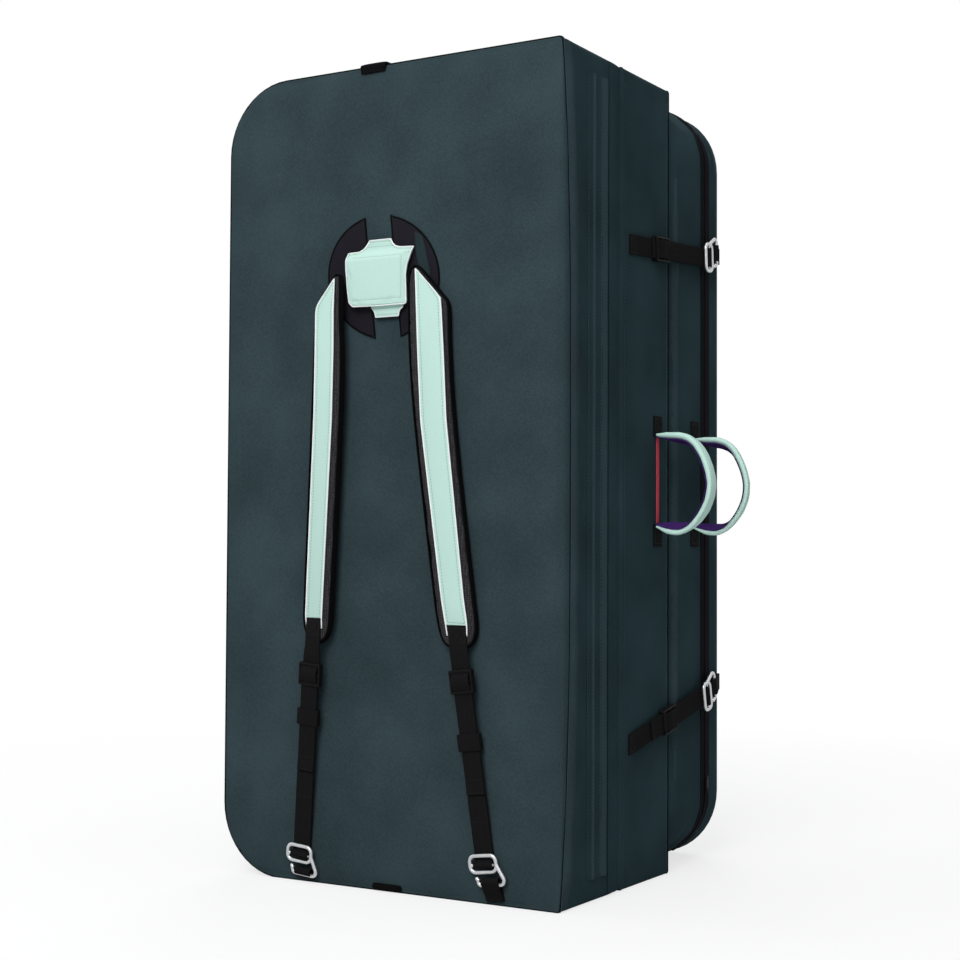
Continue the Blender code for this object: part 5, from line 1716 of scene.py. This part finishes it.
def stepped_line(points, step, closed=True):
    """An outline with more points, no two further apart than a step."""
    line = []
    ends = points[1:] + points[:1] if closed else points[1:]
    for (ax, az), (bx, bz) in zip(points, ends):
        count = max(1, math.ceil(math.hypot(bx - ax, bz - az) / step))
        line += [(ax + (bx - ax) * i / count, az + (bz - az) * i / count) for i in range(count)]
    return line if closed else [*line, points[-1]]


def signed_area(line):
    return sum(a[0] * b[1] - b[0] * a[1] for a, b in zip(line, line[1:] + line[:1])) / 2


def flat_size(line):
    """A sheet's flat size and area from its outline; a slanted narrow one counts its own width, not its box's."""
    area = abs(signed_area(line))
    width, height = (max(part) - min(part) for part in zip(*line))
    if area <= 0.32 * width * height:
        width = area / height / 0.6
    return dict(flat=(width, height), area=area)


def flat_cut(name, outline, low, high):
    """Cloth or pad cut to an outline in the XZ plane, between two depths."""
    made = fresh(
        bpy.ops.mesh.primitive_circle_add, name, vertices=len(outline), radius=1, fill_type="NGON", location=(0, 0, 0)
    )
    for vertex, (x, z) in zip(made.data.vertices, outline):
        vertex.co = (x, high, z)
    choose(made, "FACE", lambda face: True)
    bpy.ops.mesh.extrude_region_move(TRANSFORM_OT_translate={"value": (0, low - high, 0)})
    bpy.ops.mesh.select_all(action="SELECT")
    bpy.ops.mesh.normals_make_consistent(inside=False)
    leave()
    return made


def inset_line(outline, by):
    """An outline moved inwards, point by point."""
    inward = by if signed_area(outline) > 0 else -by
    moved = []
    for i, (x, z) in enumerate(outline):
        before, after = outline[i - 1], outline[(i + 1) % len(outline)]
        ahead = Vector((after[0] - before[0], after[1] - before[1])).normalized()
        moved.append((x - ahead.y * inward, z + ahead.x * inward))
    return moved


def stuffed(name, outline, low, high, cell, rounding, slack, pressure, cap):
    """A sewn pad cut to an outline: swollen between its seams, and no thicker than its place allows."""
    made = flat_cut(name, inset_line(outline, 0.0008), low + 0.0006, high - 0.0004)
    bevelled(made, rounding, 3)
    shape(made, "REMESH", mode="VOXEL", voxel_size=cell)
    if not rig.quick():
        middle = (low + high) / 2
        rim = [Vector((x, middle, z)) for x, z in outline]

        def held(co):
            near = min((co - p).length for p in rim)
            return max(0.0, 0.9 - near / 0.006)

        sewn_cloth(made, held, slack, pressure, cap)
    for vertex in made.data.vertices:
        vertex.co.y = max(low, min(high, vertex.co.y))
    shape(made, "SMOOTH", factor=0.4, iterations=2)
    return shaded(flat_unwrapped(softened(made)), 60)


def patch_outline(side, steps=40):
    """A D, its straight edge towards the middle, leaning a little."""
    half_angle = math.acos(0.018 / PATCH_HALF[0])
    middle = 0 if side > 0 else math.pi
    line = []
    for a in np.linspace(middle - half_angle, middle + half_angle, steps):
        z = PATCH_HALF[1] * math.sin(a)
        line.append((PATCH_HALF[0] * math.cos(a) - z * 0.11, z))
    return line


def round_band(outline, y):
    """A route round an outline on the carry face, its side towards the outline's inside."""
    ring = [Vector((x, y, z)) for x, z in outline]
    count = len(ring)
    sides = [Vector((0, 1, 0)).cross((ring[(i + 1) % count] - ring[i - 1]).normalized()) for i in range(count)]
    return Band([*ring, ring[0]], [*sides, sides[0]], step=0.004, rounds=0)


def on_harness(outline):
    return [(x + HARNESS.x, z + HARNESS.z) for x, z in outline]


def sewn_round(outline, y):
    """A closed seam along an outline on the carry face."""
    return [(Vector((x, y, z)), Vector((0, -1, 0))) for x, z in [*outline, outline[0]]]


PATCHES = {}


def harness_patch(name, side):
    """A D-shaped base of dark cloth, bound at its edge and sewn down twice."""
    outline = patch_outline(side)
    face = HARNESS.y - GAP
    base = flat_cut(f"harness_base_{name}", inset_line(outline, 0.0006), -GAP - PATCH * 0.75, -GAP)
    settle(base, Matrix.Translation(HARNESS))
    flat_unwrapped(bevelled(base, 0.0003))
    shaded(base, 50)
    finished(base, "carry_panel", f"harness_patch_{name}", slot="webbing", finish=PATCH_CLOTH)
    PATCHES[name] = base
    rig.sheet(base, held="laid", rests_on=[COVERS["carry"]], **flat_size(outline))
    route = round_band(on_harness(inset_line(outline, 0.0013)), face - PATCH * 0.62)
    binding = laid_band(f"harness_binding_{name}", route, 0.0022, 0.0010, 0.0, 4, even=False)
    finished(binding, "carry_panel", slot="webbing", finish=BLACK_BINDING)
    rows = [sewn_round(on_harness(inset_line(outline, by)), face - PATCH * 0.78) for by in (0.0036, 0.0075)]
    seams(f"harness_patch_stitches_{name}", rows, "carry_panel", BLACK_THREAD, "webbing", thick=0.0006)


def eased(value, low, high):
    share = max(0.0, min(1.0, (value - low) / (high - low)))
    return share * share * (3 - 2 * share)


def yoke():
    """The padded yoke: flat at its sewn top tab and right border, rolled at its lower edge, piped in white."""
    back = -2 * GAP - PATCH
    front = back - 0.012
    level = back - 0.0045
    outline = rounded_line(stepped_line(YOKE_OUTLINE, 0.004), 2)
    place = Matrix.Translation(HARNESS)

    def fullness(x, z):
        return 1 - 0.84 * max(eased(z, 0.0190, 0.0345), 0.55 * eased(x, 0.0290, 0.0395))

    made = stuffed("yoke_pad", outline, front, back, 0.0022, 0.0035, slack=0.02, pressure=6, cap=0.003)
    for vertex in made.data.vertices:
        co = vertex.co
        share = fullness(co.x, co.z)
        crease = math.exp(-((co.z - 0.0236) / 0.0014) ** 2) + math.exp(-((co.z + 0.0286) / 0.0014) ** 2)
        crease = min(1.0, crease + math.exp(-((co.x - 0.0336) / 0.0012) ** 2)) * (co.y < level)
        co.y = level + (co.y - level) * share + 0.0004 * crease * share
    made.data.update()
    settle(made, place)
    finished(made, "carry_panel", "harness_yoke", slot="mint_fabric", finish=MINT_CLOTH)
    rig.padded(made, fill=0.7)
    middle = (front + back) / 2
    rim = [
        Vector((x, level + (middle - 0.0040 - level) * fullness(x, z), z)) + HARNESS
        for x, z in inset_line(outline, 0.0005)
    ]
    piping = tube("yoke_piping", rim, 0.0008, closed=True)
    finished(piping, "carry_panel", slot="mint_fabric", finish=WHITE_TAPE)
    foot = back - 0.0030
    tab = flat_cut("yoke_lower_tab", rounded_line(stepped_line(YOKE_TAB, 0.004), 1), foot - 0.0018, foot)
    flat_unwrapped(bevelled(tab, 0.0006))
    settle(shaded(tab, 50), place)
    finished(tab, "carry_panel", slot="mint_fabric", finish=MINT_CLOTH)
    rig.padded(tab, fill=0.2)
    edge = [Vector((x, foot - 0.0014, z)) + HARNESS for x, z in stepped_line(YOKE_TAB[1:9], 0.002, closed=False)]
    edging = tube("yoke_tab_piping", edge, 0.0006)
    finished(edging, "carry_panel", slot="mint_fabric", finish=WHITE_TAPE)
    # Along the top seam, the lower seam, the right border, the sewn top tab twice, its edge, and the lower tab
    lines = [
        (made, [(x, 0.0236 + 0.02 * (x - 0.0336) * (x > 0)) for x in np.linspace(-0.0370, 0.0336, 40)]),
        (made, [(x, -0.0286) for x in np.linspace(-0.0370, 0.0336, 40)]),
        (made, [(0.0336, z) for z in np.linspace(-0.0286, 0.0236, 30)]),
        (made, [(x, 0.0420) for x in np.linspace(-0.0130, 0.0140, 16)]),
        (made, [(x, 0.0362) for x in np.linspace(-0.0180, 0.0190, 18)]),
        (made, [(x, z) for x, z in inset_line(outline, 0.0026) if z > 0.0250]),
        (tab, [(x, -0.0468) for x in np.linspace(-0.0050, 0.0250, 16)]),
    ]
    rows = []
    for piece, line in lines:
        whole = pressed_on(piece, [Vector((x, 0, z)) + HARNESS for x, z in line], Vector((0, 1, 0)))
        row = whole[:1]
        for point in whole[1:]:
            if (point[0] - row[-1][0]).length > 0.008:
                rows.append(row)
                row = []
            row.append(point)
        rows.append(row)
    seams("yoke_stitches", rows, "carry_panel", MINT_THREAD, "mint_fabric", length=0.0022, pitch=0.0034, thick=0.0005)


def corner_strip():
    """A cover-cloth strip laid over the right patch, from the yoke's corner to under the shoulder strap."""
    line = rounded_line(stepped_line(CORNER_STRIP, 0.006), 1)
    under = -GAP - PATCH
    made = flat_unwrapped(flat_cut("harness_corner_strip", line, under - 0.0008, under - 0.0003))
    settle(shaded(made, 50), Matrix.Translation(HARNESS))
    finished(made, "carry_panel", slot="cover_fabric", finish=CORNER_CLOTH)
    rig.sheet(made, held="laid", rests_on=[PATCHES["right"]], **flat_size(line))
    rows = [sewn_round(on_harness(inset_line(line, 0.0012)), HARNESS.y + under - 0.0009)]
    seams("harness_corner_stitches", rows, "carry_panel", DARK_THREAD, "cover_fabric", thick=0.0005)


def shoulder_pad(name, outline, facing_line, low, high, place, outward):
    """The mesh pad of a shoulder strap, its bound edge, and the seams that show on it."""
    pad = stuffed(f"{name}_pad", outline, low, high, 0.0030, 0.0030, slack=0.015, pressure=4, cap=0.002)
    settle(pad, place)
    finished(pad, name, f"{name}_strap_pad", slot="spacer_mesh", finish=STRAP_MESH)
    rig.padded(pad, fill=0.8)
    rim = [Vector((x, (low + high) / 2, z)) for x, z in inset_line(outline, 0.0002)]
    route = Band([*rim, rim[0]], Vector((0, 1, 0)), place, step=0.006, rounds=0)
    binding = laid_band(f"{name}_binding", route, 0.0085, 0.0012, 0.0004, 4)
    finished(binding, name, slot="webbing", finish=BLACK_BINDING)
    rows = []
    for line in (inset_line(outline, 0.0056), stepped_line(inset_line(facing_line, -0.0017), 0.004)):
        points = [place @ Vector((x, low, z)) for x, z in [*line, line[0]]]
        rows.append(pressed_on(pad, points, -outward, 0.0002))
    seams(f"{name}_pad_stitches", rows, name, BLACK_THREAD, "webbing", length=0.0026, pitch=0.0040, thick=0.0009)
    return pad


def longest_runs(line):
    """The two long sides of a facing's outline, each from its top down."""
    foot = sorted(range(len(line)), key=lambda i: line[i][1])[:2]
    top = max(range(len(line)), key=lambda i: line[i][1])
    runs = []
    for start in foot:
        for way in (1, -1):
            run, i = [line[start]], start
            while i != top:
                i = (i + way) % len(line)
                if i in foot:
                    break
                run.append(line[i])
            else:
                runs.append(run[::-1])
    return sorted(runs, key=lambda run: run[-1][0])


def shoulder_facing(name, outline, pad, place, outward):
    """The mint facing on a shoulder strap, with white tapes down its long edges that end under its foot."""
    facing = flat_cut(f"{name}_facing", outline, 0.0, FACING_THICK)
    flat_unwrapped(bevelled(facing, 0.0005))
    settle(shaded(facing, 50), place)
    finished(facing, name, f"{name}_strap_facing", slot="mint_fabric", finish=MINT_CLOTH)
    tapes = []
    for number, (run, inward) in enumerate(zip(longest_runs(outline), (0.0012, -0.0012)), 1):
        points = [Vector((x, -0.0002, z)) for x, z in run]
        foot = run[-1]
        points.append(Vector((foot[0] + inward, FACING_THICK, foot[1] - 0.0125)))
        route = Band(points, Vector((1, 0, 0)), place, step=0.006, rounds=2)
        tape = laid_band(f"{name}_edge_tape_{number}", route, 0.0016, 0.0008, 0.0002, 2)
        tapes.append(finished(tape, name, slot="mint_fabric", finish=WHITE_TAPE))
    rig.sheet(facing, held="laid", rests_on=[pad], with_pieces=tapes, **flat_size(outline))
    line = inset_line(outline, 0.0040)
    row = [(place @ Vector((x, -0.0001, z)), outward) for x, z in [*line, line[0]]]
    seams(f"{name}_facing_stitches", [row], name, MINT_THREAD, "mint_fabric", length=0.0026, pitch=0.0038, thick=0.0006)


def shoulder_webbing(name, how, sewn, rolled_across, lower, reach, outward):
    """The webbing from its sewn end round the hook and back, with the folded tail it ends in."""
    back = lower.inverted() @ sewn
    across = lower.to_3x3().inverted() @ rolled_across
    lead = [(back, across), ((0, 0, 0), across), ((0, 0, -0.014), Vector((1, 0, 0)))]
    route = strap_route(lead, reach, how["tail"] + 0.0012, lower)
    run = laid_band(f"{name}_run", route, 0.0245)
    turn = RETURN_LIFT / 2
    fold = arc((LOCK_SET, turn), turn, -math.pi / 2, -math.pi * 3 / 2, 9)
    path = [(0.0425, 0), *fold, (how["tail"] - 0.014, RETURN_LIFT), (how["tail"], RETURN_LIFT + 0.0011)]
    tail_route = Band([(0, -out, -at) for at, out in path], Vector((1, 0, 0)), lower, step=0.0015, rounds=0)
    tail = laid_band(f"{name}_tail", tail_route, 0.0242, 0.00145)
    strap = combined(f"{name}_strap", run, tail)
    finished(strap, name, f"{name}_webbing", slot="webbing", finish=BLACK_WEBBING)
    lift = route.turned(0.02, outward) * (TAPE / 2 + 0.0001)
    end = tail_route.length
    tail_lift = tail_route.turned(end - 0.02, outward) * (0.0008 + 0.0001)
    rows = [
        *box_stitch(route, 0.0025, 0.0200, 0.0098, lift),
        route.crossing(route.length - 0.0300, 0.0105, 8, -lift),
        *[tail_route.crossing(end - by, 0.0105, 8, tail_lift) for by in (0.0030, 0.0180)],
    ]
    seams(f"{name}_strap_stitches", toward(rows, outward), name, BLACK_THREAD, "webbing", **WEBBING_STITCH)


def shoulder_loop(name, bar, across, down):
    """The anchor loop that a shoulder strap's hook holds, sewn into the bottom edge of the carry face."""
    seam_y = -OUTER - GAP - TAPE / 2
    outer_y = seam_y - TAPE - GAP
    bend = arc((bar.y, bar.z), LOOP_TURN, math.radians(20), math.radians(225), 14)
    path = [(seam_y, 0.0050), *bend, (outer_y, 0.0050)]
    points = [(bar.x + (z - bar.z) * down.x / down.z, y, z) for y, z in path]
    route = Band(points, across, step=0.0015, rounds=0)
    made = laid_band(f"{name}_loop", route, 0.023, rounding=0.0003)
    finished(made, "carry_panel", f"{name}_anchor_loop", slot="webbing", finish=BLACK_WEBBING)
    end = route.length
    sign = route.turned(end - 0.003, (0, -1, 0))
    rows = facing_out([route.crossing(end - by, 0.0095, 7, sign * 0.0009) for by in (0.002, 0.0045)], sign)
    seams(f"{name}_loop_stitches", rows, "carry_panel", BLACK_THREAD, "webbing", **WEBBING_STITCH)


def shoulder(side_name):
    """One shoulder strap: pad and facing, webbing with its lock and keeper, the hook and its loop."""
    how = SHOULDERS[side_name]
    name = f"{side_name}_shoulder"
    roll, pivot = -how["roll"], how["pivot"]
    pad_back = -2 * GAP - PATCH - 0.0005
    pad_front = pad_back - PAD_THICK
    facing_front = pad_front - GAP - FACING_THICK
    basis = Matrix.Rotation(roll, 3, "Z")
    place = frame_at(Vector((pivot, FACE + facing_front, STRAP_TOP)), basis)
    outward = basis @ Vector((0, -1, 0))

    def local(x, z):
        return (x - pivot) / math.cos(roll), z - STRAP_TOP

    def on_pad(point):
        x, z = local(*point)
        return place @ Vector((x, FACING_THICK - TAPE / 2, z - 0.0009))

    pad_line = rounded_line([local(*point) for point in how["pad"]], 2)
    facing_line = [local(*point) for point in how["facing"]]
    pad = shoulder_pad(
        name, pad_line, facing_line, pad_front - facing_front, pad_back - facing_front, place, outward
    )
    shoulder_facing(name, facing_line, pad, place, outward)

    start = on_pad(how["start"])
    hook_end = Vector((how["hook"][0], FACE - 0.0005 - TAPE / 2, how["hook"][1]))
    reach = (hook_end - start).length
    up = (start - hook_end).normalized()
    across = (Vector((1, 0, 0)) - up * up.x).normalized()
    lower = frame_at(start, Matrix((across, up.cross(across), up)).transposed())
    shoulder_webbing(name, how, on_pad(how["sewn"]), basis @ Vector((1, 0, 0)), lower, reach, outward)

    on_lock = shifted(lower, LOCK_SET)
    lock = twin(SHOULDER_SLEEVE, f"{name}_lock", on_lock)
    finished(lock, f"{side_name}_lock", f"{name}_ladder_lock", slot="black_plastic", finish=BLACK_NYLON)
    over_bar(f"{name}_lock_turn", on_lock, 0.0100, f"{side_name}_lock")
    keeper = twin(KEEPER_SLEEVE, f"{name}_keeper_band", shifted(lower, how["keeper"]))
    finished(keeper, f"{side_name}_keeper", f"{name}_keeper", slot="webbing", finish=BLACK_WEBBING)
    hook = twin(HOOK, f"{name}_bent_hook", shifted(lower, reach, HOOK_LIFT))
    finished(hook, name, f"{name}_hook", slot="aluminium", finish=HOOK_METAL)
    bar = lower @ Vector((LOOP_X, -HOOK_LIFT, -reach - FOOT))
    shoulder_loop(name, bar, *(lower.to_3x3() @ Vector(axis) for axis in ((1, 0, 0), (0, 0, 1))))


# Handles and edge tabs


HANDLE_PROFILE = (
    (0.0000, 0.0605), (0.0150, 0.0607), (0.0310, 0.0594), (0.0450, 0.0558), (0.0555, 0.0470), (0.0640, 0.0325),
    (0.0705, 0.0150), (0.0740, -0.0020), (0.0722, -0.0200), (0.0655, -0.0370), (0.0560, -0.0500),
    (0.0450, -0.0602), (0.0310, -0.0640), (0.0150, -0.0622), (0.0000, -0.0580),
)
HANDLE_HEIGHT = 0.496
# At each point of the profile: the band's thickness, how far out it lies, and how its side leans in degrees
HANDLE_DEPTHS = (
    0.0042, 0.0088, 0.0098, 0.0098, 0.0095, 0.0092, 0.0090, 0.0088, 0.0086, 0.0084, 0.0082, 0.0080, 0.0080, 0.0074,
    0.0040,
)
HANDLE_OFFSETS = (
    0.0025, 0.0040, 0.0044, 0.0038, 0.0028, 0.0018, 0.0012, 0.0010, 0.0012, 0.0016, 0.0018, 0.0020, 0.0024, 0.0026,
    0.0025,
)
HANDLE_TWISTS = (0, -6, -12, -12, -6, 0, 0, 0, 0, 0, 4, 14, 24, 22, 6)
HANDLE_ROOT = TAPE + 2 * GAP


def inside_line(offsets):
    line = [Vector(p) for p in HANDLE_PROFILE]
    moved = []
    for i, (point, offset) in enumerate(zip(line, offsets)):
        before, after = line[max(i - 1, 0)], line[min(i + 1, len(line) - 1)]
        ahead = (after - before).normalized()
        moved.append(point + Vector((ahead.y, -ahead.x)) * offset)
    moved[0].x = moved[-1].x = 0
    return [Vector((p.x, 0, p.y)) for p in moved]


def handle(name, y, turn, fullness, panel_body, body):
    """A carry handle: its sewn-down ends, a padded mint band gathered at its roots, and a purple lining inside."""
    x = HALF_WIDTH + GAP + TAPE / 2
    rows, ends = [], []
    for high, low in ((0.0820, 0.0560), (-0.0540, -0.0820)):
        points = [(x, y, HANDLE_HEIGHT + z) for z in np.linspace(high, low, 8)]
        route = Band(points, Vector((0, 1, 0)), rounds=0)
        ends.append(laid_band(f"{name}_end_{len(ends)}", route, 0.024))
        lift = route.turned(0.01, (1, 0, 0)) * (TAPE / 2 + 0.0001)
        rows += box_stitch(route, 0.0030, route.length - 0.0040, 0.0095, lift)
    base = combined(f"{name}_base_webbing", *ends)
    finished(base, panel_body, f"{name}_base", slot="webbing", finish=BLACK_WEBBING)
    rows = toward(rows, Vector((1, 0, 0)))
    seams(f"{name}_base_stitches", rows, panel_body, BLACK_THREAD, "webbing", length=0.0026, pitch=0.0036, thick=0.0009)

    def rooted(piece, finish, slot, *nodes):
        """Stays sewn to the wall at its roots and turns with the handle further out."""
        root = HALF_WIDTH + HANDLE_ROOT
        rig.blend(piece, panel_body, body, start=(root, y, HANDLE_HEIGHT), end=(root + 0.026, y, HANDLE_HEIGHT))
        finished(piece, None, *nodes, slot=slot, finish=finish)

    place = Matrix.Translation((HALF_WIDTH + HANDLE_ROOT, y, HANDLE_HEIGHT))
    reach = max(out for out, z in HANDLE_PROFILE)
    sides = []
    for (out, z), twist in zip(HANDLE_PROFILE, HANDLE_TWISTS):
        a = turn * math.sin(math.pi / 2 * out / reach)
        sides.append(Vector((-math.sin(a), math.cos(a), math.tan(math.radians(twist)))).normalized())
    depths = [depth * fullness for depth in HANDLE_DEPTHS]
    route = Band(inside_line(HANDLE_OFFSETS), sides, place, step=0.0035, rounds=6)
    grip = rolled(f"{name}_padded_band", route, [0.0235, 0.0252, *[0.0262] * 18, 0.0252, 0.0235], depths)
    for vertex in grip.data.vertices:
        co = vertex.co
        drawn = max(0.0, 1 - (co.x - HALF_WIDTH) / 0.045)
        gather = 0.0005 * noise.noise(Vector((co.x * 60, co.y * 70, co.z * 150)))
        gather += 0.0007 * drawn * noise.noise(Vector((co.x * 170, co.y * 110, co.z * 170)))
        co += vertex.normal * gather
        co.x = max(co.x, HALF_WIDTH + HANDLE_ROOT - 0.0002)
    shaded(softened(grip), 70)
    rooted(grip, HANDLE_LIT_CLOTH, "mint_fabric", f"{name}_grip")
    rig.padded(grip, fill=0.7)
    lining_offsets = [o + d / 2 + 0.0006 for o, d in zip(HANDLE_OFFSETS, depths)]
    lining_route = Band(inside_line(lining_offsets), sides, place, step=0.0035, rounds=6)
    width = 0.0225
    lining = laid_band(f"{name}_lining_cloth", lining_route, width, 0.0009, 0.0003, 6)
    rooted(lining, PURPLE_CLOTH, "purple_lining", f"{name}_lining")
    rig.sheet(lining, flat=(width, lining_route.length), held="laid", rests_on=[grip])
    sign = route.turned(route.length / 2, (1, 0, 0))
    rows = []
    for across in (-0.0105, 0.0105):
        line = [route.at(s, across, sign * 0.01) for s in np.linspace(0.016, route.length - 0.016, 80)]
        rows.append([pressed for point, facing in line for pressed in pressed_on(grip, [point], -facing * sign)])
    frames = [place for row in rows for place in seam_frames(row, length=0.0024, pitch=0.0038, thick=0.0005)]
    rooted(repeated(f"{name}_grip_stitches", STITCH, frames), MINT_THREAD, "mint_fabric")


def coral_ribbon():
    """A narrow plain ribbon sewn down the wall between the centre handle's roots."""
    x = HALF_WIDTH + GAP + 0.0010
    route = Band([(x, 0.0312, z) for z in np.linspace(0.5515, 0.4435, 24)], Vector((0, 1, 0)), rounds=0)
    made = laid_band("centre_handle_ribbon", route, 0.0080, 0.0008, 0.0002, 3)
    finished(made, "centre_panel", slot="webbing", finish=CORAL_TAPE)


def edge_tab(where, points, x, width):
    """A folded webbing tab sewn over an edge of the carry face."""
    route = Band([(x, y, z) for y, z in points], Vector((1, 0, 0)), step=0.0012, rounds=2)
    widths = [width * 0.9, width, width, width * 0.9]
    made = shaded(rolled(f"{where}_tab_webbing", route, widths, [0.0028, 0.0036, 0.0036, 0.0028], 3.6, 32), 60)
    finished(made, "carry_panel", f"{where}_edge_tab", slot="webbing", finish=BLACK_BINDING)
    return route


def edge_tabs():
    """The tab over the top edge, with its two seams, and the one over the bottom edge."""
    front = -OUTER - 0.0020 - 0.0009
    top = HEIGHT + 0.0020 + GAP
    turn = CRISP[0]
    corner = arc((front + turn, top - turn), turn, math.pi, math.pi / 2, 7)
    route = edge_tab("top", [(front, HEIGHT - 0.005 - turn), *corner, (front + 0.030, top)], -0.019, 0.039)
    up = Vector((0, 0, 1))
    rows = [
        [(point + up * 0.0018, up) for point, facing in route.crossing(route.length - by, 0.017, 10)]
        for by in (0.004, 0.009)
    ]
    seams("top_tab_stitches", rows, "carry_panel", BLACK_THREAD, "webbing", length=0.0024, pitch=0.0034, thick=0.0006)
    low = 0.0020
    edge_tab("bottom", [(front + 0.001, low), (front, low + 0.002), (front, 0.0095)], 0.0095, 0.042)


# The pad


make_camera()
make_studio()
bpy.context.scene.view_settings.view_transform = "Standard"
STITCH = make_stitch()
TOOTH = make_tooth()
COVERS = {name: cover(name) for name in PANELS}
for panel_name in PANELS:
    foam(panel_name)
    cover_seams(panel_name)
for fold_name, side, panel_name in (("front", 1, "carry"), ("rear", -1, "rear")):
    fold_strip(fold_name, side, f"{panel_name}_panel")
    fold_gusset(fold_name, side, f"{panel_name}_panel")
corner_zip("rear", REAR_ZIP, 1, REAR_TOP)
corner_zip("carry", CARRY_ZIP, -1, HEIGHT)
zip_of("centre", [(x, 0, HEIGHT) for x in np.linspace(-0.190, 0.190, 20)], [(0, 0, 1)] * 20)
SLIDER = make_slider()
for panel_name, place in (
    ("rear", Matrix.Translation((HALF_WIDTH, REAR_ZIP, ZIP_START))),
    ("carry", frame_at(Vector((-HALF_WIDTH, CARRY_ZIP, ZIP_START)), Matrix.Rotation(math.pi, 3, "Z"))),
    ("centre", frame_at(Vector((0.136, 0, HEIGHT)), Matrix.Rotation(-math.pi / 2, 3, "Y"))),
):
    slider = twin(SLIDER, f"{panel_name}_zip_runner", place)
    finished(slider, f"{panel_name}_zip_pull", f"{panel_name}_zip_slider", slot="black_plastic", finish=SLIDER_METAL)
HOOK = make_hook()
CLOSURE_SLEEVE = sleeve("closure sleeve", width=0.025, length=0.036, side_room=0.0010, bars=2)
SHOULDER_SLEEVE = sleeve("shoulder sleeve", width=0.0245, length=0.028, side_room=0.0010, bars=2)
KEEPER_SLEEVE = sleeve("keeper sleeve", width=0.0245, length=0.020, side_room=0.0014, bars=0, rail=0.0014)
for side_name in CLOSURE_REACH:
    for level_name in CLOSURES:
        closure(side_name, level_name)
harness_patch("left", -1)
harness_patch("right", 1)
corner_strip()
yoke()
for side_name in SHOULDERS:
    shoulder(side_name)
for pattern in (SLIDER, HOOK, CLOSURE_SLEEVE, SHOULDER_SLEEVE, KEEPER_SLEEVE):
    bpy.data.objects.remove(pattern)
handle("centre_handle", 0.032, math.radians(8), 1.0, "centre_panel", "centre_handle")
handle("rear_handle", 0.1445, math.radians(20), 0.92, "rear_panel", "rear_handle")
coral_ribbon()
edge_tabs()

SIZES["visual_box"] = [list(map(float, corner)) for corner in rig.bounds()]
with open("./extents.json", "w") as notes:
    json.dump(SIZES, notes)
